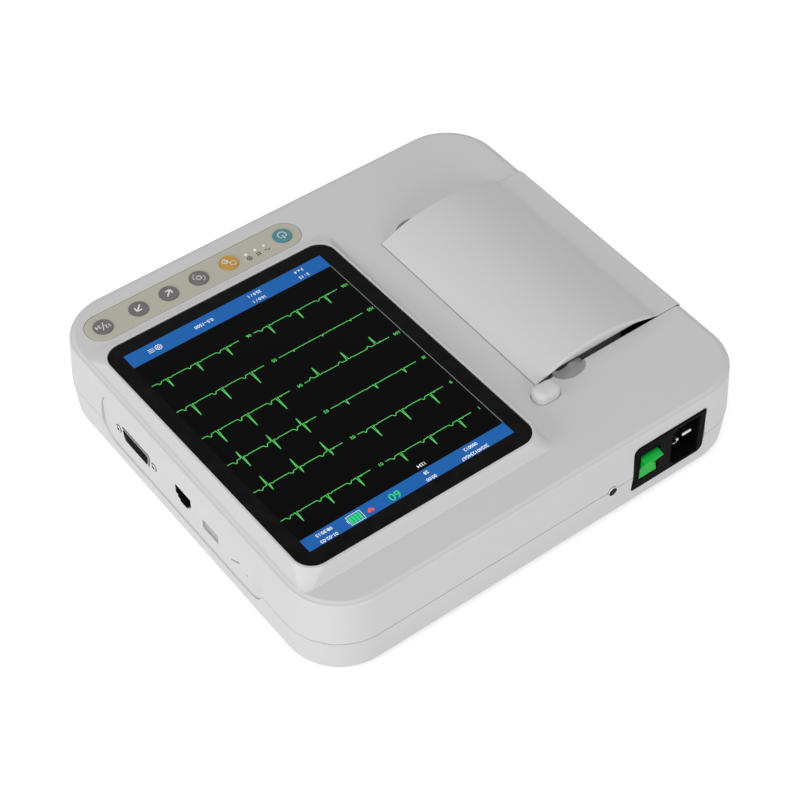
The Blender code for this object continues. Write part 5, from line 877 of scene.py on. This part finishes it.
def make_door():
    """The sheet with room for the hinge ears, its ends shaped, and a wall's thickness."""
    bm = door_sheet()
    gone = []
    for face in bm.faces:
        middle = face.calc_center_median()
        beside = any(low - GAP < middle.y < high + GAP for low, high in ear_spans())
        if beside and middle.z < HINGE_Z + HINGE_RADIUS + GAP and abs(middle.x - WALL_X) < 0.05:
            gone.append(face)
    bmesh.ops.delete(bm, geom=gone, context="FACES")
    roll_ends(bm)
    rim = [v for v in bm.verts if v.co.y < DOOR_FRONT_Y and v.co.z > DECK - DOOR_WALL + 0.1]
    made = bmesh.ops.extrude_edge_only(
        bm, edges=[e for e in bm.edges if e.is_boundary and all(v in rim for v in e.verts)]
    )["geom"]
    for vert in points_of(made):
        if vert.co.x > WALL_X + 2:
            vert.co.z = min(vert.co.z, DECK - DOOR_WALL)
    bmesh.ops.recalc_face_normals(bm, faces=bm.faces)
    crest = max(bm.faces, key=lambda face: face.calc_center_median().z)
    if crest.normal.z < 0:
        bmesh.ops.reverse_faces(bm, faces=bm.faces)
    sheet = link("door", mesh_of("door", bm))
    wall = sheet.modifiers.new("wall", "SOLIDIFY")
    wall.thickness = SHEET_WALL
    wall.offset = -1
    wall.use_even_offset = True
    return reopened(baked(sheet))


finished("door_shell", make_door(), "door", CASE_WHITE, "case_plastic", ["printer_door"])

knuckles = [
    soften(hinge_barrel(before[1] + GAP, after[0] - GAP), 0.3)
    for before, after in zip(ear_spans(), ear_spans()[1:])
]
finished("door_knuckles", together(*knuckles), "door", CASE_WHITE, "case_plastic")


def make_cheeks():
    """The plates under the door that carry the platen, with a bore through both."""
    outline = [(-55.5, 38.4), (-41.2, 38.4), (-41.2, 49.4), (-46, 52.6), (-55.5, 56.2)]
    turn = Matrix(((1, 0, 0, 0), (0, 0, 1, 0), (0, 1, 0, 0), (0, 0, 0, 1)))
    plates = []
    for y in (-59.5, 57.5):
        plates.append(prism(outline, y, y + 2, turn))
    bore = drum(2.8, -70, 70, shift(-47.5, 0, 43) @ ALONG_Y)
    return worked(together(*plates), [("cut", bore)])


finished("door_cheeks", soften(make_cheeks(), 0.25), "door", CASE_INSIDE, "case_plastic")


# ---------------------------------------------------------------- release button

def make_button():
    levels = [(-0.6, DECK - SKIN - 1.3), (-0.6, DECK - SKIN - GAP), (0, DECK - SKIN - GAP + 0.01)]
    for angle in quarter(EDGE_STEPS + 3):
        inset, drop = BUTTON_ROUND * (1 - math.cos(angle)), BUTTON_ROUND * (1 - math.sin(angle))
        levels.append((inset, BUTTON_TOP - drop))
    levels += [(BUTTON_ROUND + 0.8, BUTTON_TOP + 0.1), (BUTTON_ROUND + 1.3, BUTTON_TOP + 0.14)]
    bm = block_of(levels, BUTTON_X, BUTTON_Y, BUTTON_WIDTH, BUTTON_LENGTH, BUTTON_CORNER, 8)
    stem = box(-37.5, -34.5, 68.0, 73.0, 33.7, DECK - SKIN - 1)
    return worked(bm, [("join", stem)])


finished("release_button_cap", make_button(), "release", CASE_WHITE, "case_plastic", ["release_button"])


# ---------------------------------------------------------------- screen

def screen_plate(width, length, corner, low, high, edge=0.0, x=0.0, y=0.0, steps=CORNER_STEPS):
    """A thin plate lying in the plane of the screen."""
    bm = bmesh.new()
    levels = [(edge, low), (0, low + edge), (0, high - edge), (edge, high)] if edge else [(0, low), (0, high)]
    return bridged(bm, [
        rounded_face(
            bm, width - 2 * inset, length - 2 * inset, max(corner - inset, 0),
            ON_SCREEN @ shift(x, y, z), steps,
        )
        for inset, z in levels
    ])


finished(
    "screen_cover_glass",
    screen_plate(GLASS_WIDTH, GLASS_LENGTH, GLASS_CORNER, -GLASS_THICKNESS, 0, 0.35),
    "case", SCREEN_BLACK, "screen_glass", ["screen_glass"],
)
LIFT = 0.02
finished(
    "display_field", screen_plate(FIELD_WIDTH, FIELD_LENGTH, 0, -0.2, LIFT, x=FIELD_X, y=FIELD_Y),
    "case", FIELD_BLACK, "display",
)
TOP_BAR = (72.75, 80.95)
LOW_BAR = (-81.0, -70.75)
bars = [
    screen_plate(FIELD_WIDTH, high - low, 0, 0, 2 * LIFT, x=FIELD_X, y=(low + high) / 2)
    for low, high in (TOP_BAR, LOW_BAR)
]
finished("display_bars", together(*bars), "case", BAR_BLUE, "display")
finished(
    "display_side_line", screen_plate(0.3, 143.5, 0, 0, 2 * LIFT, x=-60.4, y=1.0),
    "case", PALE_LINE, "display",
)


def stroke(
    paths, thickness, name, material, lift=2 * LIFT, place=ON_SCREEN, body="case", slot="display"
):
    """Thin raised lines from point to point: each path is its flat points, and whether it closes."""
    curve = bpy.data.curves.new(name, "CURVE")
    curve.dimensions = "3D"
    curve.bevel_depth = thickness / 2
    curve.bevel_resolution = 1
    curve.use_fill_caps = True
    for points, closed in paths:
        following = points[1:] + points[:1] if closed else points[1:]
        for pair in zip(points, following):
            along = Vector(pair[1]) - Vector(pair[0])
            over = along.normalized() * thickness * 0.18
            line = curve.splines.new("POLY")
            line.points.add(1)
            for spot, (x, y) in zip(line.points, (Vector(pair[0]) - over, Vector(pair[1]) + over)):
                spot.co = (x, y, 0, 1)
    bm = reopened(baked(link(name, curve)))
    bmesh.ops.scale(bm, vec=(1, 1, 0.35), verts=bm.verts)
    bmesh.ops.translate(bm, vec=(0, 0, lift), verts=bm.verts)
    return finished(name, bm, body, material, slot, place=place)


def words(texts, name, material, place=ON_SCREEN, body="case", slot="display", lift=2 * LIFT):
    """Plain numbers: (text, x, y, height) each, as thin raised figures."""
    pieces = []
    for text, x, y, size in texts:
        curve = bpy.data.curves.new(name, "FONT")
        curve.body = text
        curve.size = size * 1.35
        curve.align_x = "CENTER"
        curve.align_y = "CENTER"
        curve.extrude = 0.02
        curve.offset = 0.045
        curve.resolution_u = 3
        bm = reopened(baked(link(name, curve)))
        bmesh.ops.translate(bm, vec=(x, y, lift + 0.02), verts=bm.verts)
        pieces.append(bm)
    return finished(name, together(*pieces), body, material, slot, place=place)


BEATS = (0.0, 17.75, 35.5)
ROWS = (57.6, 35.1, 13.0, -9.25, -31.75, -54.25)
LEFT_ROWS = ((6.3, 0, 1), (8.1, 0, 1), (3.2, 0, 0.2), (-6.4, 0, -1), (1.1, 0, 0), (6.6, 0, 1))
RIGHT_ROWS = ((6.4, 0, 1), (3.9, -7.0, 1), (7.0, -4.9, 1.3), (9.2, 0, 1.4), (8.9, 0, 1.2), (6.4, 0, 1))


def trace(start, end, first, base, up, down, wave):
    """One lead: a level line with small waves before and after each spike."""
    points = [(start, base)]
    bump = 0.45 * (1 if up > 0 else -1) * min(abs(wave) + 0.2, 1)
    for beat in BEATS:
        spike = first + beat
        points += [(spike - 3.4, base), (spike - 2.4, base + bump), (spike - 1.5, base), (spike - 0.75, base)]
        points += [(spike - 0.55, base - 0.25), (spike, base + up)]
        if down:
            points += [(spike + 0.5, base + down)]
        points += [(spike + (0.95 if down else 0.5), base - (0.25 if up > 2 else 0)), (spike + 1.3, base)]
        points += [(spike + 3.0, base)]
        for step in range(1, 7):
            angle = math.pi * step / 7
            points.append((spike + 3.0 + 2.9 * step / 7, base + 1.35 * wave * math.sin(angle) ** 2))
        points += [(spike + 5.9, base)]
    points = [point for point in points if point[0] < end]
    points.append((end, base))
    return points


paths = []
for row, (up, down, wave) in zip(ROWS, LEFT_ROWS):
    paths.append((trace(-45.6, 0.2, -44.2, row, up, down, wave), False))
    paths.append(([(-52.3, row), (-47.2, row)], False))
for row, (up, down, wave) in zip(ROWS, RIGHT_ROWS):
    paths.append((trace(15.6, 61.3, 17.1, row - 0.2, up, down, wave), False))
    paths.append(([(9.2, row - 0.2), (14.4, row - 0.2)], False))
stroke(paths, 0.42, "display_traces", TRACE_GREEN)

labels = [(label, -57.3, row, 2.0) for label, row in zip(("I", "II", "III", "104", "105", "106"), ROWS)]
labels += [(f"0{number}", 3.1, row, 2.0) for number, row in enumerate(ROWS, 1)]
words(labels, "display_lead_numbers", TRACE_GREEN)
words([("60", 9.6, 77.4, 5.0)], "display_rate_number", VIVID_GREEN)
words(
    [
        ("202401234567", -37.4, 79.5, 2.0), ("000012", -37.9, 75.2, 2.0), ("00:00", -10.9, 79.5, 2.0),
        ("28", -10.9, 75.2, 2.0), ("01-02-03", 49.3, 79.5, 2.0), ("08:30:15", 49.3, 75.2, 2.0),
        ("1234", -12.2, 69.9, 1.9),
        ("3 : 12", -45.0, -73.3, 2.0), ("3 x 4", -45.0, -78.1, 2.0), ("10.0 / 1", -16.6, -73.3, 2.0),
        ("25.0 / 1", -16.6, -78.1, 2.0), ("0.5~1500", 16.1, -75.9, 2.2),
    ],
    "display_small_numbers", LABEL_WHITE,
)

# Battery, heart and settings signs
cells = [screen_plate(1.35, 4.6, 0, 0, 3 * LIFT, x=29.9 + 1.75 * cell, y=77.3) for cell in range(4)]
finished("display_battery_cells", together(*cells), "case", VIVID_GREEN, "display")
stroke(
    [
        ([(28.4, 74.4), (36.4, 74.4), (36.4, 80.2), (28.4, 80.2)], True),
        ([(37.0, 76.2), (37.0, 78.4)], False),
    ],
    0.3, "display_battery_outline", LABEL_WHITE,
)
heart = [(24, 76.2)]
for step in range(13):
    angle = math.pi * (step / 12) - 0.35
    heart.append((24.85 + 0.95 * math.cos(angle), 78.1 + 0.9 * math.sin(angle)))
heart += [(48 - x, y) for x, y in reversed(heart[1:])]
finished("display_heart", prism(heart, 0, 3 * LIFT, ON_SCREEN), "case", HEART_RED, "display")


def on_circle(x, y, radius, angle):
    return x + radius * math.cos(angle), y + radius * math.sin(angle)


gear_x, gear_y, teeth = 43.6, -75.9, 16
gear = [
    on_circle(gear_x, gear_y, 1.9 if tooth % 2 else 1.45, math.tau * tooth / teeth + side)
    for tooth in range(teeth) for side in (-0.09, 0.09)
]
ring = [on_circle(gear_x, gear_y, 0.7, math.tau * k / 12) for k in range(12)]
lines = [([(46.4, gear_y + step), (49.6, gear_y + step)], False) for step in (-1.1, 0, 1.1)]
stroke([(gear, True), (ring, True), *lines], 0.36, "display_settings_sign", LABEL_WHITE)


# ---------------------------------------------------------------- key strip

def make_strip(inset, low, high):
    middle = (STRIP_LOW_X + STRIP_HIGH_X) / 2
    width = STRIP_HIGH_X - STRIP_LOW_X - 2 * inset
    length = STRIP_WIDTH - 2 * inset
    edge = 0.12
    levels = ((0, low), (0, high - edge), (edge, high))
    blank = block_of(levels, middle, STRIP_Y, width, length, length / 2 - 0.01)
    return worked(blank, [("cut", strip_holes(edge))])


finished("key_strip_edge", make_strip(0, STRIP_BED, DECK), "case", STRIP_BORDER, "key_strip", ["key_overlay"])
finished("key_strip_film", make_strip(0.9, DECK - 0.3, DECK + 0.06), "case", STRIP_BEIGE, "key_strip")

KEY_COLOURS = {"power": (KEY_TEAL, "power_key"), "print": (KEY_GOLD, "print_key")}


def make_key(x):
    """A round cap with a rolled rim and a shallow crown."""
    profile = [
        (0.0, -3.9), (5.3, -3.9), (5.3, -3.3), (6.2, -3.3), (6.2, -2.8), (5.3, -2.8),
        (5.3, 0.3), (5.22, 0.48), (5.05, 0.58), (4.8, 0.6), (4.6, 0.53), (4.45, 0.5),
        (3.0, 0.52), (1.5, 0.53), (0.0, 0.53),
    ]
    bm = bmesh.new()
    chain = [bm.verts.new((radius, 0, z)) for radius, z in profile]
    for pair in zip(chain, chain[1:]):
        bm.edges.new(pair)
    bmesh.ops.spin(
        bm, geom=bm.verts[:] + bm.edges[:], cent=(0, 0, 0), axis=(0, 0, 1), angle=math.tau, steps=48,
        use_merge=True, use_duplicate=False,
    )
    bmesh.ops.remove_doubles(bm, verts=bm.verts, dist=0.0005)
    bmesh.ops.recalc_face_normals(bm, faces=bm.faces)
    bmesh.ops.translate(bm, vec=(x, STRIP_Y, DECK), verts=bm.verts)
    return bm


for name, x in KEYS.items():
    material, slot = KEY_COLOURS.get(name, (KEY_GREY, "grey_key"))
    finished(f"{name}_key_cap", make_key(x), f"{name}_key", material, slot, [f"{name}_key"])


def arc(x, y, radius, start, end, steps=14):
    return [
        on_circle(x, y, radius, math.radians(start + (end - start) * k / steps)) for k in range(steps + 1)
    ]


KEY_MARKS = {
    "power": [(arc(0, -0.3, 2.3, 125, 415), False), ([(0, 0.2), (0, 2.9)], False)],
    "print": [
        (arc(-1.7, 1.6, 1.45, 0, 345), True), ([(-0.7, 0.6), (0.6, -0.5)], False),
        ([(1.4, -3.5), (3.2, -1.6), (1.4, 0.2), (-0.3, -1.6)], True), ([(0.7, -1.6), (2.1, -1.6)], False),
    ],
    "lead": [
        (arc(0, 0, 1.35, 0, 345), True), (arc(-0.6, 1.0, 2.2, 100, 205), False),
        (arc(0.6, -1.0, 2.2, -80, 25), False),
    ],
    "up": [([(1.7, 1.7), (-1.6, -1.6)], False), ([(-1.8, 0.9), (-1.8, -1.8), (0.9, -1.8)], False)],
    "down": [([(-1.7, -1.9), (1.6, 1.4)], False), ([(1.8, -1.1), (1.8, 1.6), (-0.9, 1.6)], False)],
    "mode": [([(-1.1, -2.5), (1.1, 2.5)], False)],
}
for name, x in KEYS.items():
    place = shift(x, STRIP_Y, DECK + 0.6)
    thick = 0.85 if name in ("up", "down") else 0.62 if name in ("power", "lead") else 0.5
    stroke(
        KEY_MARKS[name], thick, f"{name}_key_mark", KEY_MARK, 0.0, place, f"{name}_key",
        KEY_COLOURS.get(name, (None, "grey_key"))[1],
    )

words(
    [("12", -2.4, 0.9, 2.5), ("34", 2.6, -0.8, 2.5)], "mode_key_numbers", KEY_MARK,
    shift(KEYS["mode"], STRIP_Y, DECK + 0.52), "mode_key", "grey_key", 0.0,
)

for number, x in enumerate(LAMPS, 1):
    lens = drum(LAMP_RADIUS, DECK - 3, DECK + 0.05, shift(x, STRIP_Y, 0), 24)
    top = bmesh.new()
    bmesh.ops.create_uvsphere(top, u_segments=24, v_segments=12, radius=LAMP_RADIUS)
    bmesh.ops.scale(top, vec=(1, 1, 0.28), verts=top.verts)
    bmesh.ops.translate(top, vec=(x, STRIP_Y, DECK + 0.05), verts=top.verts)
    finished(
        f"lamp_lens_{number}", worked(lens, [("join", top)]), "case", LAMP_CLEAR, "lamp",
        [f"indicator_lamp_{number}"],
    )

icon_y = STRIP_Y + 3.7
icons = [
    ([(LAMPS[0] - 1.5 + 0.25 * k, icon_y + 0.55 * math.sin(math.tau * k / 12)) for k in range(13)], False),
    (arc(LAMPS[1], icon_y, 0.85, 0, 345), True),
    ([on_circle(LAMPS[2], icon_y, 1.45, math.tau * k / 6) for k in range(6)], True),
    (arc(LAMPS[2], icon_y, 0.4, 0, 345, 8), True),
]
for k in range(4):
    angle = math.pi / 4 + math.pi / 2 * k
    icons.append(([on_circle(LAMPS[1], icon_y, reach, angle) for reach in (1.0, 1.45)], False))
stroke(
    icons, 0.5, "strip_marks", DARK_MARK, 0.0, shift(0, 0, DECK + 0.09), "case", "key_strip"
)


# ---------------------------------------------------------------- side panel and ports

DSUB_Y, DSUB_Z, DSUB_WIDTH, DSUB_HEIGHT = -39.4, 29.2, 24.6, 8.4
JACK_PLACES = (DSUB_Y - 16.2, DSUB_Y + 16.2)
NETWORK_Y, NETWORK_Z = 3.4, 30.2
GREY_Y, GREY_Z = 26.9, 27.8
SLOT_Y, SLOT_Z = 48.1, 26.2
PIN_Y, PIN_Z = 58.1, 25.1
NETWORK_MOUTH = (
    (-6.4, 4.8), (-6.4, -0.9), (-4.9, -0.9), (-4.9, -2.9), (-3.0, -2.9), (-3.0, -4.6),
    (3.0, -4.6), (3.0, -2.9), (4.9, -2.9), (4.9, -0.9), (6.4, -0.9), (6.4, 4.8),
)


LINER = 0.35


def network_prism(grow, low, high):
    """A bar with the stepped outline of the network socket's mouth, grown all round."""
    outline = [
        (y + math.copysign(grow, y), z + (grow if z > 4 else -grow)) for y, z in NETWORK_MOUTH
    ]
    return prism(outline, low, high, on_panel(NETWORK_Y, NETWORK_Z))


def d_block(grow, low, high):
    """The D-shaped block of the patient socket, out of the side wall."""
    w, h, slant = DSUB_WIDTH / 2 + grow, DSUB_HEIGHT / 2 + grow, 1.4
    bm = prism([(-w + slant, -h), (w - slant, -h), (w, h), (-w, h)], low, high)
    upright = [e for e in bm.edges if abs(e.verts[0].co.z - e.verts[1].co.z) > 0.1]
    soften(bm, 1.8, 5, edges=upright)
    return laid(bm, on_panel(DSUB_Y, DSUB_Z))


def side_block(y, z, width, height, corner, low, high):
    return wall_block(width, height, corner, ((0, low), (0, high)), on_panel(y, z))


def make_panel():
    blank = wall_block(
        PANEL_LENGTH, PANEL_HEIGHT, PANEL_CORNER,
        ((0, -2.0), (0, -0.5), (0.15, -0.18), (0.5, 0)), on_panel(PANEL_Y, PANEL_Z), 14,
    )
    jacks = [drum(2.6, -5, 5, on_panel(y, DSUB_Z), 28) for y in JACK_PLACES]
    slot = wall_block(
        8.8, 0.9, 0.44, ((0, -5), (0, 5)),
        on_panel(SLOT_Y, SLOT_Z) @ Matrix.Rotation(math.radians(30), 4, "Z"), 5,
    )
    pin = drum(0.6, -5, 5, on_panel(PIN_Y, PIN_Z), 16)
    return worked(blank, [
        ("cut", together(
            d_block(0.8, -5, 5), network_prism(LINER + 0.05, -5, 5),
            side_block(GREY_Y, GREY_Z, 13.4, 6.6, 0.5, -5, 5), slot, pin, *jacks,
        )),
    ])


finished("side_panel", make_panel(), *CASE_PART, ["side_port_panel"])

shell = worked(
    wall_block(39.2, 12.5, 1.8, ((0, -6.4), (0, -5.6)), on_panel(DSUB_Y, DSUB_Z)),
    [
        ("join", d_block(0, -6.0, 0.4)),
        ("cut", together(d_block(-0.35, -6, 6), *[
            drum(1.5, -6, 6, on_panel(y, DSUB_Z), 24) for y in JACK_PLACES
        ])),
    ],
)
finished("socket_steel_shell", shell, "case", STEEL, "plated_steel", ["patient_socket_shell"])
holes = []
for row_holes, row_z in ((8, 1.42), (7, -1.42)):
    for k in range(row_holes):
        hole_y = DSUB_Y + (k - (row_holes - 1) / 2) * 2.77
        holes.append(drum(0.55, -1, 3, on_panel(hole_y, DSUB_Z + row_z), 14))
core = worked(d_block(-1.0, -15, -0.2), [("cut", together(*holes))])
finished("socket_core", core, "case", PORT_BLACK, "black_plastic", ["patient_socket_core"])


def make_jack(number, y):
    nut = drum(2.0, -5.3, 0.5, on_panel(y, DSUB_Z), 6)
    soften(nut, 0.25)
    bore = drum(1.25, -1.4, 5, on_panel(y, DSUB_Z), 20)
    made = worked(nut, [("cut", bore)])
    finished(f"jack_nut_{number}", made, "case", STEEL, "plated_steel", [f"jack_screw_{number}"])


for number, y in enumerate(JACK_PLACES, 1):
    make_jack(number, y)


def make_network():
    place = on_panel(NETWORK_Y, NETWORK_Z)
    blank = soften(wall_block(14.6, 11.6, 0.3, ((0, -17), (0, -2.3)), place, 2), 0.25)
    return worked(blank, [("join", network_prism(LINER, -2.8, -0.08)), ("cut", network_prism(0, -11, 3))])


finished("network_socket", make_network(), "case", PORT_BLACK, "black_plastic", ["network_port"])
contacts = []
for k in range(8):
    bar = box(-0.22, 0.22, 4.1, 4.6, -9.5, -3.2)
    bmesh.ops.transform(
        bar, matrix=on_panel(NETWORK_Y + (k - 3.5) * 1.02, NETWORK_Z), verts=bar.verts
    )
    contacts.append(bar)
finished("network_contacts", together(*contacts), "case", CONTACT_GOLD, "brass")

grey_block = wall_block(12.9, 6.1, 0.4, ((0, -17), (0, -0.25)), on_panel(GREY_Y, GREY_Z), 3)
grey = worked(soften(grey_block, 0.2), [("cut", side_block(GREY_Y, GREY_Z, 11.6, 4.8, 0.3, -0.6, 3))])
finished("grey_port", grey, "case", PORT_GREY, "port_grey", ["usb_port"])


# ---------------------------------------------------------------- mains inlet

def make_inlet():
    place = on_wall(INLET_X, INLET_FACE, INLET_Z, "Y")
    blank = wall_block(
        INLET_WIDTH, INLET_HEIGHT, INLET_CORNERS, ((0, -26), (0, -0.4), (0.12, -0.12), (0.4, 0)), place
    )
    socket_x, half_w, half_h, chamfer = 10.4, 9.2, 13.2, 3.4
    socket = [
        (socket_x - half_w + chamfer, -half_h), (socket_x + half_w, -half_h), (socket_x + half_w, half_h),
        (socket_x - half_w + chamfer, half_h), (socket_x - half_w, half_h - chamfer),
        (socket_x - half_w, -half_h + chamfer),
    ]
    plug = prism(socket, -15.5, 4, place)
    soften(plug, 0.8, 3, edges=[e for e in plug.edges if abs((e.verts[0].co - e.verts[1].co).y) > 10])
    well_place = on_wall(ROCKER_X, INLET_FACE, WELL_Z, "Y")
    well = wall_block(12.6, 19.0, 0.6, ((0, -8.9), (0, 4)), well_place, 3)
    rim = wall_block(14.4, 20.8, 1.0, ((0, -1), (0, 0.12), (0.2, 0.3)), well_place, 4)
    return worked(blank, [("join", rim), ("cut", together(plug, well))])


finished("inlet_module", make_inlet(), "case", INLET_BLACK, "black_plastic", ["mains_inlet"])
# Each blade: its X and Z, its width, and how far its tip lies behind the plate
BLADES = ((-89.5, 32.9, 6.2, -0.8), (-88.6, 19.6, 3.4, -6.8), (-86.6, 26.6, 2.2, -3.8))
for number, (x, z, wide, tip) in enumerate(BLADES, 1):
    levels = ((0, -32), (0, tip - 0.9), (0.15, tip - 0.35), (0.4, tip))
    blade = wall_block(wide, 1.9, 0.3, levels, on_wall(x, INLET_FACE, z, "Y"), 3)
    finished(f"inlet_pin_{number}", blade, "case", STEEL, "plated_steel", [f"inlet_blade_{number}"])


def make_rocker():
    """The rocker in profile, drawn out along X, its long edges rounded."""
    outline = [
        (7.8, 4.5), (7.4, 5.0), (2.8, 3.7), (-2.4, 2.75), (-3.0, 2.7), (-3.6, 2.85), (-5.4, 3.6), (-7.4, 4.6),
        (-7.8, 4.2), (-7.8, 0.0), (-5.5, -2.5), (5.5, -2.5), (7.8, 0.0),
    ]
    turn = Matrix(((0, 0, 1, 0), (0, 1, 0, 0), (1, 0, 0, 0), (0, 0, 0, 1)))
    bm = prism(outline, -6, 6, turn)
    bmesh.ops.recalc_face_normals(bm, faces=bm.faces)
    soften(bm, 0.45, 3, math.radians(20))
    pivot = shift(ROCKER_X, INLET_FACE - 3.0, INLET_Z - 0.5)
    laid(bm, pivot @ Matrix.Rotation(ROCKER_LEAN, 4, "X"))
    return bm


finished("rocker_cap", make_rocker(), "rocker", ROCKER_GREEN, "rocker_green", ["rocker_switch"])

earth_place = on_wall(EARTH_X, CASE_DEPTH / 2, EARTH_Z, "Y")
stud = worked(
    soften(drum(EARTH_RADIUS, -8, 0.7, earth_place, 40), 0.25),
    [("cut", drum(EARTH_RADIUS - 0.5, -6.5, 3, earth_place, 32))],
)
finished("earth_stud", stud, "case", STEEL, "plated_steel", ["earth_terminal"])


# ---------------------------------------------------------------- inner parts keep their shapes

INNER_FINISHES = {
    "printer_chassis": finish("chassis_moulding", (0.10, 0.10, 0.105), 0.6, fineness=1500.0, depth=0.3),
    "lcd_panel": finish("lcd_edge", (0.03, 0.10, 0.20), 0.3, depth=0.05),
    "feed_motor": finish("motor_can", (0.55, 0.55, 0.55), 0.3, 1.0, fineness=800.0),
    "battery_pack": finish("battery_film", (0.05, 0.09, 0.16), 0.4, depth=0.1),
    "speaker": finish("speaker_frame", (0.03, 0.03, 0.032), 0.55),
    "print_head": finish("head_ceramic", (0.62, 0.59, 0.52), 0.25, fineness=900.0),
    "paper_roll": finish("thermal_paper", (0.80, 0.79, 0.76), 0.75, fineness=1800.0, depth=0.3),
    "paper_spindle": finish("spindle_acetal", (0.70, 0.70, 0.68), 0.4),
    "platen_roller": finish("platen_rubber", (0.035, 0.035, 0.036), 0.75, fineness=1500.0, depth=0.4),
    "release_spring": STEEL,
    "hinge_pin": STEEL,
    "platen_shaft": STEEL,
    "latch_lever": finish("lever_acetal", (0.16, 0.16, 0.165), 0.45),
    "head_heat_sink": finish("sink_aluminium", (0.62, 0.62, 0.63), 0.38, 1.0, fineness=500.0, depth=0.2),
    "lcd_bracket": finish("bracket_sheet", (0.60, 0.60, 0.60), 0.4, 1.0, fineness=400.0, depth=0.2),
    "battery_cover": CASE_WHITE,
}
GEAR_WHITE = finish("gear_acetal", (0.74, 0.74, 0.72), 0.4)
BOARD_GREEN = finish("board_resist", (0.015, 0.12, 0.05), 0.35, fineness=900.0, depth=0.4)
for name in ("platen_gear", "idler_gear"):
    INNER_FINISHES[name] = GEAR_WHITE
INNER_FINISHES["motor_pinion"] = finish("pinion_brass", (0.70, 0.55, 0.27), 0.32, 1.0, fineness=700.0)
for name in ("key_board", "main_board", "power_board", "port_board"):
    INNER_FINISHES[name] = BOARD_GREEN
for number in range(1, 5):
    INNER_FINISHES[f"foot_{number}"] = RUBBER
    INNER_FINISHES[f"case_screw_{number}"] = STEEL
for name, material in INNER_FINISHES.items():
    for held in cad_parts[name].material_slots:
        held.material = material


# ---------------------------------------------------------------- floor and light

def plain_rays(tree):
    """1 for what the camera, gloss and glass see, 0 for the light that falls on the object."""
    path = tree.nodes.new("ShaderNodeLightPath")
    seen = sums(tree, "MAXIMUM", path.outputs["Is Camera Ray"], path.outputs["Is Glossy Ray"])
    return sums(tree, "MAXIMUM", seen, path.outputs["Is Transmission Ray"])


def white_stage(name):
    """A pale floor lifted to white where it is looked at, which keeps the object's shadow."""
    material, tree, shader = new_material(name, {
        "Base Color": (0.8, 0.8, 0.8, 1), "Roughness": 0.9, "Specular IOR Level": 0.1,
        "Emission Color": (1, 1, 1, 1),
    })
    tree.links.new(spread(tree, plain_rays(tree), 0, 1, 0, 0.5), shader.inputs["Emission Strength"])
    return material


floor_bm = bmesh.new()
bmesh.ops.create_grid(floor_bm, x_segments=1, y_segments=1, size=3)
floor = link("floor", mesh_of("floor", floor_bm))
floor.data.materials.append(white_stage("floor_white"))

world = bpy.data.worlds.new("world")
bpy.context.scene.world = world
world.use_nodes = True
tree = world.node_tree
back = tree.nodes["Background"]
tree.links.new(spread(tree, plain_rays(tree), 0, 1, 0.5, 1.0), back.inputs["Strength"])
back.inputs["Color"].default_value = (1, 1, 1, 1)


def lamp(name, place, aim, size, power):
    light = bpy.data.lights.new(name, "AREA")
    light.shape = "DISK"
    light.size = size
    light.energy = power
    made = link(name, light)
    made.location = place
    made.rotation_euler = (Vector(place) - Vector(aim)).to_track_quat("Z", "Y").to_euler()


lamp("side_light", (3.0, -0.2, 0.84), (0, 0, 0.03), 1.6, 36)
lamp("rear_light", (0.4, 3.0, 0.9), (0, 0, 0.03), 1.6, 30)
lamp("top_light", (1.2, 0.6, 3.0), (0, 0, 0), 2.0, 22)

bpy.context.scene.view_settings.view_transform = "Standard"
